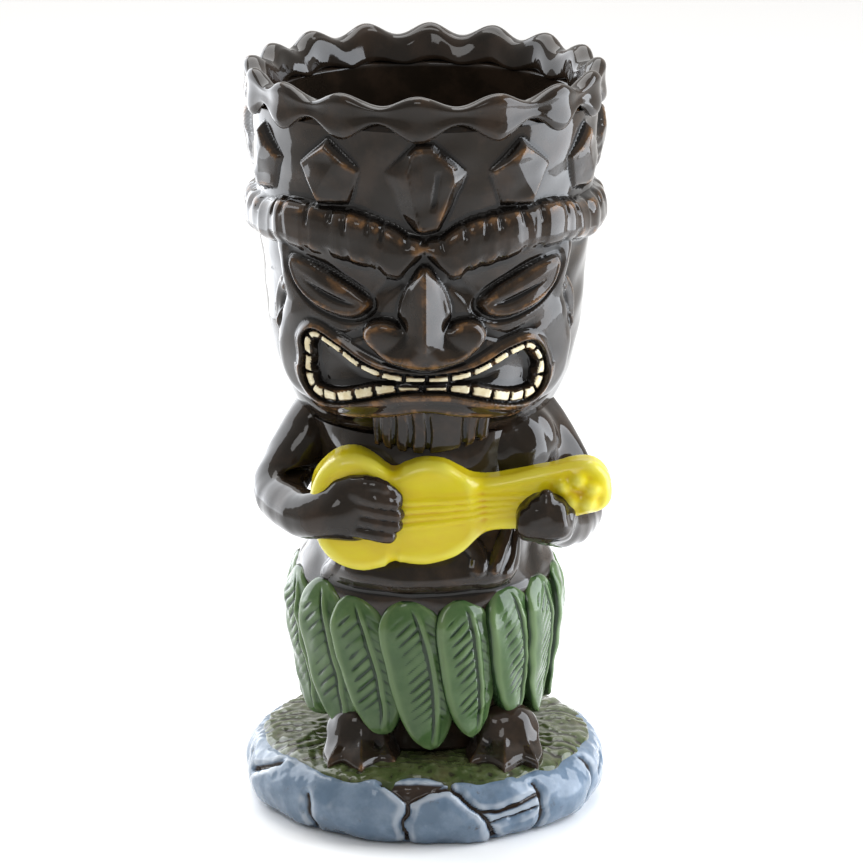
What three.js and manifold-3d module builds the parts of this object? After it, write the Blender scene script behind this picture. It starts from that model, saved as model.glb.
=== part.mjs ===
// A hollow glazed-ceramic mug in the shape of a carved figure that plays a small guitar.
// The head is the cup. Below it come a trunk with two arms, a skirt of leaves, two feet,
// a grassy mound and a slab of cracked stone. Everything is in millimetres, +Z is up, the
// origin is at the centre of the foot, and the figure looks along -Y. Angles are measured
// round the mug from the front, positive towards +X.

import * as THREE from "three";
import { ConvexGeometry } from "three/addons/geometries/ConvexGeometry.js";
import { mergeVertices } from "three/addons/utils/BufferGeometryUtils.js";
import Module from "manifold-3d";

const wasm = await Module();
wasm.setup();

// ---------------------------------------------------------------- driving dimensions
const HEIGHT = 180; // to the tops of the scallops
const BASE_RADIUS = 43;
const RIM_RADIUS = 43;
const WALL = 4.5;
const GAP = 0.3; // between two pieces that touch
const SEGMENTS = 40; // round a turned piece
const DEGREE = Math.PI / 180;

const NECK = 97; // height where the head sits on the trunk

// Outside of the cast vessel, [radius, height], from its foot to the top of its wall.
const VESSEL_OUTSIDE = [
  [22, 17.3],
  [23, 23],
  [27, 30],
  [29, 40],
  [29.5, 50],
  [30.5, 57],
  [28.5, 62],
  [25.5, 68],
  [25, 78],
  [26, 88],
  [27.5, 95],
  [30.5, 99],
  [33.4, 105],
  [35.6, 113],
  [37, 121],
  [37.8, 131],
  [39, 144],
  [40.2, 157],
  [40.5, 171.5],
];
const CAVITY = [
  [40.5 - WALL, 171.5],
  [35.5, 150],
  [33.2, 130],
  [31, 113],
  [27.5, 104],
  [23, 98],
  [21, 88],
  [20.3, 74],
  [22.5, 64],
  [25.3, 56],
  [24.6, 44],
  [22, 31],
  [17.5, 24],
  [0, 22.3],
];

const SCALLOPS = 16; // round the lip
const SCALLOP_START = 0.47; // radians
const SCALLOP_BUNCHING = 1.4; // how much closer together they stand at the back
const SCALLOP_SIDE_BUNCHING = 0.5;
const LIP_TOP = HEIGHT - 1.4;
const LIP_WAVE = 1.4;
const LIP_BOTTOM = 171;
const LIP_BOTTOM_WAVE = 1.7;

const CROWN_SHIELDS = 10; // beside the kite at the front
const CROWN_STAND = 1.9;
const SHIELD_HEIGHT = 163; // where the shields are widest

const LEAVES = 16;
const LEAF_LENGTH = 36;
const LEAF_WIDTH = 14.5;
const LEAF_OVERLAP_TURN = 9; // degrees that each leaf turns to lie on the next
const SKIRT_TURN = 7.5; // degrees that the whole skirt is turned round the body

const GRASS_RADIUS = 36;
const GRASS_TOP = 17;
const CRACKS = 13;

// ---------------------------------------------------------------- glazes
const glaze = (colour) =>
  new THREE.MeshStandardMaterial({ color: colour, roughness: 0.12, metalness: 0 });
const BROWN = glaze(0x2a1d16);
const YELLOW = glaze(0xf2d60a);
const GREEN = glaze(0x4f7d3a);
const MOSS = glaze(0x55603a);
const BLUE_GREY = glaze(0x7f9bb8);
const CREAM = glaze(0xe6dcb4);

// ---------------------------------------------------------------- solids and meshes
function solidOf(geometry) {
  const bare = geometry.index ? geometry.toNonIndexed() : geometry.clone();
  bare.deleteAttribute("normal");
  bare.deleteAttribute("uv");
  const merged = mergeVertices(bare, 1e-4);
  return new wasm.Manifold(
    new wasm.Mesh({
      numProp: 3,
      vertProperties: new Float32Array(merged.attributes.position.array),
      triVerts: new Uint32Array(merged.index.array),
    }),
  );
}

function geometryOf(solid) {
  const mesh = solid.getMesh();
  return new THREE.BufferGeometry()
    .setAttribute("position", new THREE.BufferAttribute(mesh.vertProperties, 3))
    .setIndex(new THREE.BufferAttribute(mesh.triVerts, 1));
}

const cut = (geometry, ...tools) =>
  geometryOf(tools.reduce((left, tool) => left.subtract(solidOf(tool)), solidOf(geometry)));

const join = (first, ...others) =>
  geometryOf(others.reduce((sum, other) => sum.add(solidOf(other)), solidOf(first)));

const mirrored = (rows) => rows.map(([x, z]) => [-x, z]);
const wrapAngle = (angle) => THREE.MathUtils.euclideanModulo(angle + 180, 360) - 180;

// A ring whose section, a closed loop of [radius, height] that runs anticlockwise, changes
// with the angle in degrees.
function ring(sectionAt, steps) {
  const positions = [];
  const index = [];
  const count = sectionAt(0).length;
  for (let i = 0; i < steps; i++) {
    const angle = (360 * i) / steps;
    const [s, c] = [Math.sin(angle * DEGREE), Math.cos(angle * DEGREE)];
    for (const [r, z] of sectionAt(wrapAngle(angle))) positions.push(r * s, -r * c, z);
    for (let j = 0; j < count; j++) {
      const a = i * count + j;
      const b = i * count + ((j + 1) % count);
      const next = (n) => (n + count) % (steps * count);
      index.push(a, next(a), next(b), a, next(b), b);
    }
  }
  const geometry = new THREE.BufferGeometry();
  geometry.setAttribute("position", new THREE.Float32BufferAttribute(positions, 3));
  return geometry.setIndex(index);
}

// A limb along a smooth line through points, [x, y, z, radius], with domed ends. An end
// bulges by DOME, with one more ring DOME_RISE out and DOME_WIDTH wide before its tip, all
// of them shares of the radius there.
const DOME = 0.6;
const DOME_RISE = 0.48;
const DOME_WIDTH = 0.55;

function limb(points, grow = 0, sides = 9, steps = 10) {
  const line = new THREE.CatmullRomCurve3(points.map(([x, y, z]) => new THREE.Vector3(x, y, z)));
  const frames = line.computeFrenetFrames(steps, false);
  const radiusAt = (t) => {
    const at = t * (points.length - 1);
    const i = Math.min(Math.floor(at), points.length - 2);
    return THREE.MathUtils.lerp(points[i][3], points[i + 1][3], at - i) + grow;
  };
  const positions = [];
  const index = [];
  const addRing = (centre, radius, n, b) => {
    for (let k = 0; k < sides; k++) {
      const a = (2 * Math.PI * k) / sides;
      const p = centre
        .clone()
        .addScaledVector(n, radius * Math.cos(a))
        .addScaledVector(b, radius * Math.sin(a));
      positions.push(p.x, p.y, p.z);
    }
  };
  const rings = [];
  rings.push([0, -DOME_RISE, DOME_WIDTH]);
  for (let i = 0; i <= steps; i++) rings.push([i, 0, 1]);
  rings.push([steps, DOME_RISE, DOME_WIDTH]);
  for (const [i, along, share] of rings) {
    const t = i / steps;
    const r = radiusAt(t);
    const centre = line.getPoint(t).addScaledVector(frames.tangents[i], along * r);
    addRing(centre, r * share, frames.normals[i], frames.binormals[i]);
  }
  for (let i = 0; i + 1 < rings.length; i++)
    for (let k = 0; k < sides; k++) {
      const a = i * sides + k;
      const b = i * sides + ((k + 1) % sides);
      index.push(a, b, b + sides, a, b + sides, a + sides);
    }
  for (const [i, sign] of [
    [0, -1],
    [steps, 1],
  ]) {
    const r = radiusAt(i / steps);
    const tip = line.getPoint(i / steps).addScaledVector(frames.tangents[i], sign * DOME * r);
    const at = positions.length / 3;
    const first = i === 0 ? 0 : (rings.length - 1) * sides;
    positions.push(tip.x, tip.y, tip.z);
    for (let k = 0; k < sides; k++) {
      const [a, b] = [first + k, first + ((k + 1) % sides)];
      index.push(...(sign < 0 ? [at, b, a] : [at, a, b]));
    }
  }
  const geometry = new THREE.BufferGeometry();
  geometry.setAttribute("position", new THREE.Float32BufferAttribute(positions, 3));
  return geometry.setIndex(index);
}

const egg = (x, y, z, rx, ry, rz, grow = 0) =>
  new THREE.SphereGeometry(1, 10, 6)
    .scale(rx + grow, ry + grow, rz + grow)
    .translate(x, y, z);

const shapeOf = (points) => new THREE.Shape(points.map(([x, y]) => new THREE.Vector2(x, y)));

// A raised plate on the front of the mug: its outline is in x and z, and it runs from the
// depth inside to the depth outside, both measured from the axis, with a chamfered front.
function plate(outline, inside, outside, chamfer) {
  return new THREE.ExtrudeGeometry(shapeOf(outline), {
    depth: outside - inside - chamfer,
    bevelThickness: chamfer,
    bevelSize: chamfer,
    bevelOffset: -chamfer,
    bevelSegments: 1,
    curveSegments: 6,
  })
    .rotateX(Math.PI / 2)
    .translate(0, -inside, 0);
}

// The same plate wrapped round the vessel. Its outline is in degrees and height, and it
// stands proud of the wall by an amount.
const WRAP_RADIUS = 38;
function relief(outline, stand, chamfer) {
  const flat = outline.map(([degrees, z]) => [degrees * DEGREE * WRAP_RADIUS, z]);
  const geometry = plate(flat, WRAP_RADIUS - 3, WRAP_RADIUS + stand, chamfer);
  const at = geometry.attributes.position;
  for (let i = 0; i < at.count; i++) {
    const angle = at.getX(i) / WRAP_RADIUS;
    const r = outsideAt(at.getZ(i)) - at.getY(i) - WRAP_RADIUS;
    at.setXY(i, r * Math.sin(angle), -r * Math.cos(angle));
  }
  return geometry;
}

function mesh(name, geometry, material, degrees = 0) {
  const made = new THREE.Mesh(geometry, material);
  made.name = name;
  made.rotation.z = degrees * DEGREE;
  return made;
}

function group(...children) {
  const made = new THREE.Group();
  made.add(...children.flat());
  return made;
}

// Linear interpolation in a table of [at, value], clamped at its ends.
function table(rows, at) {
  const i = rows.findIndex(([x]) => x >= at);
  if (i <= 0) return rows[i === 0 ? 0 : rows.length - 1][1];
  const [[x0, y0], [x1, y1]] = [rows[i - 1], rows[i]];
  return y0 + ((y1 - y0) * (at - x0)) / (x1 - x0);
}

const outsideAt = (z) => table(VESSEL_OUTSIDE.map(([r, height]) => [height, r]), z);

const lathe = (profile) =>
  new THREE.LatheGeometry(
    profile.map(([r, z]) => new THREE.Vector2(r, z)),
    SEGMENTS,
  ).rotateX(Math.PI / 2);

// ---------------------------------------------------------------- vessel
const vesselFoot = VESSEL_OUTSIDE[0][1];
const vesselTop = VESSEL_OUTSIDE.at(-1)[1];

const vessel = lathe([[0, vesselFoot], ...VESSEL_OUTSIDE, ...CAVITY]);

function slab(bottom, top) {
  return new THREE.CylinderGeometry(60, 60, top - bottom, 8)
    .rotateX(Math.PI / 2)
    .translate(0, 0, (bottom + top) / 2);
}
const trunk = cut(vessel, slab(NECK - GAP / 2, HEIGHT));
const head = cut(vessel, slab(0, NECK + GAP / 2));

// What the pieces on the vessel are cut back to, so that each keeps its gap.
const vesselAndGap = lathe([
  [0, vesselFoot - GAP],
  ...VESSEL_OUTSIDE.map(([r, z]) => [r + GAP, z]),
  [0, vesselTop + GAP],
]);

// ---------------------------------------------------------------- lip
const scallopPhase = (degrees) =>
  SCALLOPS * degrees * DEGREE +
  SCALLOP_START -
  SCALLOP_BUNCHING * Math.sin(degrees * DEGREE) -
  SCALLOP_SIDE_BUNCHING * Math.sin(2 * degrees * DEGREE);

function lipSection(degrees) {
  const wave = Math.cos(scallopPhase(degrees));
  const top = LIP_TOP + LIP_WAVE * wave;
  const bottom = LIP_BOTTOM - LIP_BOTTOM_WAVE * wave;
  const outside = RIM_RADIUS - 0.5 + 0.5 * wave;
  const seat = vesselTop + GAP;
  const skirt = VESSEL_OUTSIDE.at(-1)[0] + GAP;
  return [
    [36.2, seat],
    [skirt, seat],
    [skirt, bottom],
    [outside - 0.6, bottom],
    [outside, (bottom + top) / 2],
    [outside - 0.7, top - 1],
    [outside - 2.8, top],
    [37.2, top - 1.2],
  ];
}
const lipBand = ring(lipSection, 2 * SEGMENTS);

// ---------------------------------------------------------------- crown
const KITE = [
  [0, 149.5],
  [13.6, 161.8],
  [2.4, 168.6],
  [-2.4, 168.6],
  [-13.6, 161.8],
];
const SHIELD = [
  [4, -9.6],
  [10.6, -0.6],
  [0, 5.8],
  [-10.6, -0.6],
  [-4, -9.6],
];

const crownPiece = (outline) =>
  cut(relief(outline, CROWN_STAND, 0.8), vesselAndGap, browBand, lipBand);

// ---------------------------------------------------------------- brow
// Edges of the notched band round the head, by the angle from the front.
const BROW_UPPER = [
  [0, 147.2],
  [11, 149.3],
  [25, 151.8],
  [45, 152.2],
  [90, 149.5],
  [180, 149.5],
];
const BROW_LOWER = [
  [0, 142.6],
  [5, 140],
  [11, 137],
  [27, 139.2],
  [50, 140.6],
  [90, 139],
  [180, 139],
];
const BROW_NOTCHES = 22;

function browSection(degrees) {
  const away = Math.abs(degrees);
  const upper = table(BROW_UPPER, away);
  const lower = table(BROW_LOWER, away);
  const middle = (upper + lower) / 2;
  const notch = Math.abs(((away * BROW_NOTCHES) / 180) % 2) < 0.34 ? 0.9 : 0;
  const stand = 2.6 - notch;
  const at = (z, out) => [outsideAt(z) + out, z];
  return [
    at(lower, GAP + 0.1),
    at(lower + 1, stand),
    at(middle, stand + 0.6),
    at(upper - 1, stand - 0.4),
    at(upper, GAP + 0.1),
  ];
}
const browBand = ring(browSection, 72);

// ---------------------------------------------------------------- face
const EYE = [
  [17.4, 131.4],
  [22, 128.4],
  [29, 126.8],
  [38, 128.2],
  [46, 132.6],
  [50.5, 138.6],
  [36, 138.6],
  [24, 135.6],
];
const EYE_STAND = 2.2;

function eye(side) {
  const outline = side > 0 ? EYE : mirrored(EYE).reverse();
  return cut(relief(outline, EYE_STAND, 1), vesselAndGap, browBand, nose);
}

const points = (rows) => rows.map(([x, y, z]) => new THREE.Vector3(x, y, z));
const bridge = new ConvexGeometry(
  points([
    [0, -39.8, 141],
    [0, -43.8, 124],
    [5.6, -37.5, 127],
    [-5.6, -37.5, 127],
    [3.6, -34, 139],
    [-3.6, -34, 139],
    [0, -34, 118],
  ]),
);
const nostrils = new ConvexGeometry(
  points([
    [0, -43.8, 122.5],
    [0, -41, 116.4],
    [14.2, -36.6, 124.2],
    [-14.2, -36.6, 124.2],
    [11.5, -32, 119.5],
    [-11.5, -32, 119.5],
    [10, -37, 128],
    [-10, -37, 128],
    [0, -34, 126],
  ]),
);
const nose = cut(join(bridge, nostrils), vesselAndGap, browBand);

// Left half of the crest of the lips, [degrees, height], from the middle of the upper lip
// round the corner of the mouth to the middle of the lower lip.
const MOUTH_HALF = [
  [0, 115],
  [13.5, 116.4],
  [31, 120.3],
  [45, 122.4],
  [53.5, 114.4],
  [45, 105.4],
  [29, 103.8],
  [12, 106.2],
  [0, 107.2],
];
const MOUTH = [...MOUTH_HALF.slice(0, -1), ...mirrored(MOUTH_HALF.slice(1)).reverse()];

// A bead that follows a line on the face, with its section given across and outwards.
function bead(line, section, steps, closed) {
  const at = line.map(([degrees, z]) => new THREE.Vector3(degrees, z, 0));
  const curve = new THREE.CatmullRomCurve3(at, closed);
  const place = (t) => {
    const p = curve.getPoint(t);
    const r = outsideAt(p.y);
    return new THREE.Vector3(r * Math.sin(p.x * DEGREE), -r * Math.cos(p.x * DEGREE), p.y);
  };
  const rings = closed ? steps : steps + 1;
  const positions = [];
  const index = [];
  const count = section(0).length;
  for (let i = 0; i < rings; i++) {
    const t = i / steps;
    const centre = place(t);
    const ahead = place(closed ? (t + 1e-3) % 1 : Math.min(1, t + 1e-3));
    const behind = place(closed ? (t + 1 - 1e-3) % 1 : Math.max(0, t - 1e-3));
    const out = new THREE.Vector3(centre.x, centre.y, 0).normalize();
    const along = ahead.sub(behind).normalize();
    const across = new THREE.Vector3().crossVectors(out, along).normalize();
    for (const [u, n] of section(i)) {
      const p = centre.clone().addScaledVector(across, u).addScaledVector(out, n);
      positions.push(p.x, p.y, p.z);
    }
    if (closed || i < steps)
      for (let j = 0; j < count; j++) {
        const a = i * count + j;
        const b = i * count + ((j + 1) % count);
        const next = (n) => (n + count) % (rings * count);
        index.push(a, b, next(b), a, next(b), next(a));
      }
  }
  if (!closed)
    for (let j = 1; j + 1 < count; j++) {
      const last = (rings - 1) * count;
      index.push(0, j + 1, j, last, last + j, last + j + 1);
    }
  const geometry = new THREE.BufferGeometry();
  geometry.setAttribute("position", new THREE.Float32BufferAttribute(positions, 3));
  return geometry.setIndex(index);
}

const LIP_BEAD = [
  [-1.3, -1],
  [1.3, -1],
  [1.3, 1.2],
  [0.5, 2.2],
  [-0.5, 2.2],
  [-1.3, 1.2],
];
const MOUTH_STEPS = 48;

const mouthBead = (section) => bead(MOUTH, () => section, MOUTH_STEPS, true);
const lips = cut(mouthBead(LIP_BEAD), vesselAndGap, nose);
const lipsAndGap = mouthBead(LIP_BEAD.map(([u, n]) => [u * 1.25, n * 1.15]));

// A curled fold beside each eye that runs down to the corner of the mouth.
const CHEEK = [
  [57, 134],
  [62, 129],
  [62.5, 122.5],
  [59, 118],
];
const CHEEK_BEAD = [
  [-1.8, -1],
  [1.8, -1],
  [1, 1.5],
  [-1, 1.5],
];

function cheek(side) {
  const line = CHEEK.map(([degrees, z]) => [side * degrees, z]);
  return cut(bead(line, () => CHEEK_BEAD, 8, false), vesselAndGap, browBand, lipsAndGap);
}

// A row of teeth: a bead with a groove between each tooth and the next.
function teeth(half, count) {
  const perTooth = 3;
  const section = (i) => {
    const out = i % perTooth === 0 ? 0.75 : 1.5;
    return [
      [-TOOTH_WIDTH / 2, -1],
      [TOOTH_WIDTH / 2, -1],
      [TOOTH_WIDTH / 2, out],
      [-TOOTH_WIDTH / 2, out],
    ];
  };
  const row = [...mirrored(half.slice(1)).reverse(), ...half];
  return cut(bead(row, section, count * perTooth, false), vesselAndGap, lipsAndGap);
}
const TOOTH_WIDTH = 1.7;
const UPPER_TEETH = [
  [0, 112.5],
  [13.5, 113.8],
  [31, 117.7],
  [43, 119.8],
  [48.6, 116.6],
];
const LOWER_TEETH = [
  [0, 109.9],
  [12, 109.1],
  [29, 106.6],
  [42, 107.8],
  [48.4, 111.8],
];

// ---------------------------------------------------------------- chest
const COLLAR_BOTTOM = 89.2;
const COLLAR_TOP = 100.8;
const COLLAR_HALF = 13; // half its width
const COLLAR_BACK = 18;
const COLLAR_FRONT = 31.6;
const COLLAR_BEVEL = 0.8;
const COLLAR_RIBS = 7;
const RIB_NOTCH = 0.7; // how far the notch between two ribs goes up

function collar() {
  const outline = [];
  for (let i = 0; i <= 2 * COLLAR_RIBS; i++)
    outline.push([COLLAR_HALF * (i / COLLAR_RIBS - 1), COLLAR_BOTTOM + (i % 2 ? 0 : RIB_NOTCH)]);
  outline.push([COLLAR_HALF, COLLAR_TOP], [-COLLAR_HALF, COLLAR_TOP]);
  const front = plate(outline, COLLAR_BACK, COLLAR_FRONT, COLLAR_BEVEL);
  return cut(front, vesselAndGap, guitar(GAP));
}

// ---------------------------------------------------------------- ukulele
const GUITAR_TILT = 4.5; // degrees that the neck rises
const GUITAR_CENTRE = [-3, 81];
const GUITAR_BACK = 24;
const GUITAR_FRONT = 36.5;
const GUITAR_BEVEL = 2;

// Half outline of the instrument along its own axis, [along, half width].
const GUITAR_HALF = [
  [-22.5, 5.5],
  [-20.5, 10.5],
  [-15.5, 14],
  [-9.5, 13.9],
  [-3.5, 11.6],
  [1.5, 12],
  [7, 13],
  [12.5, 11.4],
  [16.5, 7.6],
  [32, 5.4],
  [34.5, 6.8],
  [43, 7],
  [46.8, 4.4],
];

function guitar(grow = 0) {
  const half = GUITAR_HALF.map(([x, w]) => [x + Math.sign(x) * grow, w + grow]);
  const outline = [...half.map(([x, w]) => [x, -w]), ...half.toReversed()];
  return plate(outline, GUITAR_BACK - grow, GUITAR_FRONT + grow, GUITAR_BEVEL)
    .rotateY(-GUITAR_TILT * DEGREE)
    .translate(GUITAR_CENTRE[0], 0, GUITAR_CENTRE[1]);
}

// ---------------------------------------------------------------- arms
// Centre lines, [x, y, z, radius], shoulder to wrist.
const RIGHT_ARM = [
  [-23.5, -5, 96, 6.6],
  [-29, -8, 87.5, 6],
  [-35, -13, 78, 5.9],
  [-29, -25, 77.5, 5.2],
  [-21, -34.5, 80, 4.4],
];
const LEFT_ARM = [
  [23.5, -5, 96, 6.6],
  [29.5, -8, 86.5, 6],
  [35.5, -13, 75.5, 5.8],
  [32.5, -23, 74.5, 5.2],
  [26.5, -31, 76.5, 4.6],
];

function rightArm(grow = 0) {
  const fingers = [0, 1, 2, 3].map((i) =>
    limb(
      [
        [-17, -38.5, 86.2 - 3.2 * i, 2],
        [-11, -39.6, 86 - 3.3 * i, 1.9],
        [-7 + 0.4 * i, -38.6, 85 - 3.2 * i, 1.5],
      ],
      grow,
      7,
      3,
    ),
  );
  const palm = egg(-17.5, -37.8, 81, 5.8, 3.4, 7, grow);
  return join(limb(RIGHT_ARM, grow), palm, ...fingers);
}

function leftArm(grow = 0) {
  const fingers = [0, 1, 2].map((i) =>
    limb(
      [
        [27.2 - 3.2 * i, -33, 76 - 0.4 * i, 2.1],
        [25.6 - 3.2 * i, -38.5, 79 - 0.3 * i, 2],
        [24.6 - 3 * i, -38, 84 - 0.4 * i, 1.6],
      ],
      grow,
      7,
      3,
    ),
  );
  const palm = egg(25.5, -33, 77, 5.8, 4.8, 5.6, grow);
  return join(limb(LEFT_ARM, grow), palm, ...fingers);
}

// ---------------------------------------------------------------- skirt
// One leaf lies on the vessel at the front. It follows the bulge of the skirt and leans.
const LEAF_TOP = 59.5;
const LEAF_LEAN = 0.13; // sideways travel for each millimetre down
const LEAF_BACK = 20;
const LEAF_FRONT = 31; // before the leaf is laid on the vessel
const LEAF_BEVEL = 1.1;
const LEAF_AXIS = 30; // distance of the line that a leaf turns on to overlap the next
const SKIRT_STAND = [
  [24, 3.4],
  [30, 4.2],
  [45, 4],
  [57, 2.4],
  [60, 1.6],
];

function leafPlate(grow = 0) {
  const half = [0, 0.15, 0.35, 0.6, 0.8, 0.93].map((t) => [
    t,
    (LEAF_WIDTH / 2) * Math.sqrt(Math.sin(Math.PI * (0.16 + 0.82 * t))) + grow,
  ]);
  const toPoint = (side) => ([t, w]) => [
    side * w + LEAF_LEAN * LEAF_LENGTH * (t - 0.5),
    LEAF_TOP - LEAF_LENGTH * t,
  ];
  const tip = [LEAF_LEAN * LEAF_LENGTH * 0.5, LEAF_TOP - LEAF_LENGTH - grow];
  const outline = [...half.map(toPoint(-1)), tip, ...half.toReversed().map(toPoint(1))];
  const geometry = plate(outline, LEAF_BACK, LEAF_FRONT + grow, LEAF_BEVEL);
  const at = geometry.attributes.position;
  for (let i = 0; i < at.count; i++) {
    if (at.getY(i) > -25) continue;
    const depth = outsideAt(at.getZ(i)) + table(SKIRT_STAND, at.getZ(i));
    at.setY(i, at.getY(i) + LEAF_FRONT - depth);
  }
  return geometry
    .translate(0, LEAF_AXIS, 0)
    .rotateZ(LEAF_OVERLAP_TURN * DEGREE)
    .translate(0, -LEAF_AXIS, 0);
}

const leafShape = cut(
  leafPlate(),
  vesselAndGap,
  leafPlate(GAP).rotateZ((360 / LEAVES) * DEGREE),
);

const leafAngles = Array.from(
  { length: LEAVES },
  (_, i) => (360 / LEAVES) * (i + 0.5) + SKIRT_TURN,
);
const skirtAndGap = join(...leafAngles.map((a) => leafPlate(GAP).rotateZ(a * DEGREE)));

// ---------------------------------------------------------------- feet
const FOOT_RIGHT = -15.2; // middle of the figure's right foot, from the middle of the mug
const FOOT_LEFT = 18;
const TOES = [-5.6, 0, 5.6]; // middles of the toes, from the middle of the foot

function foot(middle) {
  const toes = TOES.map((x) =>
    limb(
      [
        [middle + 0.7 * x, -23, 20.5, 3.4],
        [middle + x, -29.8 + 0.2 * Math.abs(x), 18.6, 2.2],
      ],
      0,
      7,
      2,
    ),
  );
  const instep = egg(middle, -22, 21, 8, 6.5, 5.5);
  return cut(join(instep, ...toes), vesselAndGap, grassAndGap, skirtAndGap);
}

// ---------------------------------------------------------------- ground
const grassProfile = (grow) => [
  [0, 9 - grow],
  [GRASS_RADIUS + grow, 9 - grow],
  [GRASS_RADIUS + grow, 14.6 + grow],
  [33 + grow, 15.8 + grow],
  [25, GRASS_TOP + grow],
  [0, GRASS_TOP + grow],
];
const grassAndGap = lathe(grassProfile(GAP));

function stoneBase() {
  const slab = lathe([
    [0, 3],
    [31, 3],
    [32.5, 0],
    [38, 0],
    [41, 2],
    [BASE_RADIUS, 6.5],
    [42.6, 10.5],
    [40.6, 13.8],
    [37.5, 14.9],
    [GRASS_RADIUS - 1, 14.9],
    [GRASS_RADIUS - 1, 8],
    [0, 8],
  ]);
  const cracks = Array.from({ length: CRACKS }, (_, i) => {
    const angle = (360 / CRACKS) * (i + 0.5) + 5 * Math.sin(3.1 * i);
    return new THREE.CylinderGeometry(0.9, 0.9, 20, 3)
      .rotateX(Math.PI / 2)
      .rotateX(6 * DEGREE)
      .translate(0, -BASE_RADIUS + 0.2, 12)
      .rotateZ(angle * DEGREE);
  });
  return cut(slab, grassAndGap, ...cracks);
}

// ---------------------------------------------------------------- assembly

const numbered = (name, i) => `${name}_${String(i + 1).padStart(2, "0")}`;
const shieldShape = crownPiece(SHIELD.map(([x, z]) => [x, z + SHIELD_HEIGHT]));
const crown = group(
  mesh("crown_kite", crownPiece(KITE), BROWN),
  Array.from({ length: CROWN_SHIELDS }, (_, i) =>
    mesh(
      numbered("crown_shield", i),
      shieldShape,
      BROWN,
      ((i + 1) * 360) / (CROWN_SHIELDS + 1),
    ),
  ),
);

const face = group(
  mesh("brow_band", browBand, BROWN),
  mesh("nose", nose, BROWN),
  mesh("eye_right", eye(-1), BROWN),
  mesh("eye_left", eye(1), BROWN),
  mesh("cheek_right", cheek(-1), BROWN),
  mesh("cheek_left", cheek(1), BROWN),
  mesh("lips", lips, BROWN),
  mesh("teeth_upper", teeth(UPPER_TEETH, 18), CREAM),
  mesh("teeth_lower", teeth(LOWER_TEETH, 16), CREAM),
);

const body = group(
  mesh("chest_collar", collar(), BROWN),
  mesh("arm_right", cut(rightArm(), vesselAndGap), BROWN),
  mesh("arm_left", cut(leftArm(), vesselAndGap), BROWN),
  mesh("ukulele", cut(guitar(), vesselAndGap, rightArm(GAP), leftArm(GAP)), YELLOW),
);

const skirt = group(leafAngles.map((a, i) => mesh(numbered("skirt_leaf", i), leafShape, GREEN, a)));

const ground = group(
  mesh("foot_right", foot(FOOT_RIGHT), BROWN),
  mesh("foot_left", foot(FOOT_LEFT), BROWN),
  mesh("grass_mound", lathe(grassProfile(0)), MOSS),
  mesh("stone_base", stoneBase(), BLUE_GREY),
);

const mug = group(
  mesh("head_cup", head, BROWN),
  mesh("trunk", trunk, BROWN),
  mesh("scalloped_lip", lipBand, BROWN),
  crown,
  face,
  body,
  skirt,
  ground,
);

export default mug;
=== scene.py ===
"""The looks of a glazed figure mug: the head is the cup, and the figure plays a small guitar
in a skirt of leaves, on a slab of cracked stone.

Lengths are in millimetres until a mesh is made. The figure looks along -Y, and a place round
the axis is an angle in degrees from the front, positive towards +X. Each visual piece stands
for one CAD node and carries its name. Two fields of a piece steer its glaze: "edge" is high
where the clay stands out and low in creases, and "swell" says the same of wider shapes, or
marks the veins of a leaf and the cracks of the stone."""

import math

import bpy
import numpy as np
import openvdb
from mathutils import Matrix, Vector


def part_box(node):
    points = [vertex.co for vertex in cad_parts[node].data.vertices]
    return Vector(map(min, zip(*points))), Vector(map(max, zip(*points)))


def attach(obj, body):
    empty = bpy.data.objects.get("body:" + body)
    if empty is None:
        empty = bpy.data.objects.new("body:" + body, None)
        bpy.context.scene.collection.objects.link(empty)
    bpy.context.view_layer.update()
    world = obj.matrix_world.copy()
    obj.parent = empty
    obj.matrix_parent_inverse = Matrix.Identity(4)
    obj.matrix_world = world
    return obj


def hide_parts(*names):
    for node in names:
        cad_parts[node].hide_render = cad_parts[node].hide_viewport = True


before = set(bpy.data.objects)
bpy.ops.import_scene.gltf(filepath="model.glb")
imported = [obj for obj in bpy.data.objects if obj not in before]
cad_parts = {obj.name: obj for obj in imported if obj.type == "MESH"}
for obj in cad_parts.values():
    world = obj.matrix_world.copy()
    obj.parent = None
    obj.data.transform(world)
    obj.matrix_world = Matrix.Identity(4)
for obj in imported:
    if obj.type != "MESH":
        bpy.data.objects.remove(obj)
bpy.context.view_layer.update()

MM = 0.001
DEG = math.pi / 180
WRAP = 37.0  # radius at which degrees round the head turn into millimetres
TRUNK_WRAP = 28  # the same for the other parts
COLLAR_WRAP = 29
LEAF_WRAP = 31.5
STONE_WRAP = 41
FAR = 1000.0  # stands for a distance too great to matter
BELOW = -9.0  # a height under every surface of the head
LOOK = "_look"  # ends the name of every visual piece


def top_of(node):
    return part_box(node)[1].z / MM


def bottom_of(node):
    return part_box(node)[0].z / MM


def radius_of(node):
    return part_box(node)[1].x / MM


HEIGHT = top_of("scalloped_lip")
WALL_TOP = top_of("head_cup")
NECK = bottom_of("head_cup")
TRUNK_BOTTOM = bottom_of("trunk")
RIM_RADIUS = radius_of("scalloped_lip")
GRASS_RADIUS = radius_of("grass_mound")
BASE_RADIUS = radius_of("stone_base")


# ------------------------------------------------------------------ small maths


def ramp(x, a, b):
    t = np.clip((x - a) / (b - a), 0, 1)
    return t * t * (3 - 2 * t)


def smax(a, b, k):
    h = np.clip(0.5 + 0.5 * (a - b) / k, 0, 1)
    return b * (1 - h) + a * h + k * h * (1 - h)


def smin(a, b, k):
    return -smax(-a, -b, k)


def roll(depth, width):
    """A quarter-round: 0 at an edge, 1 from width inwards."""
    t = np.clip(depth / width, 0, 1)
    return np.sqrt(1 - (1 - t) ** 2)


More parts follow.
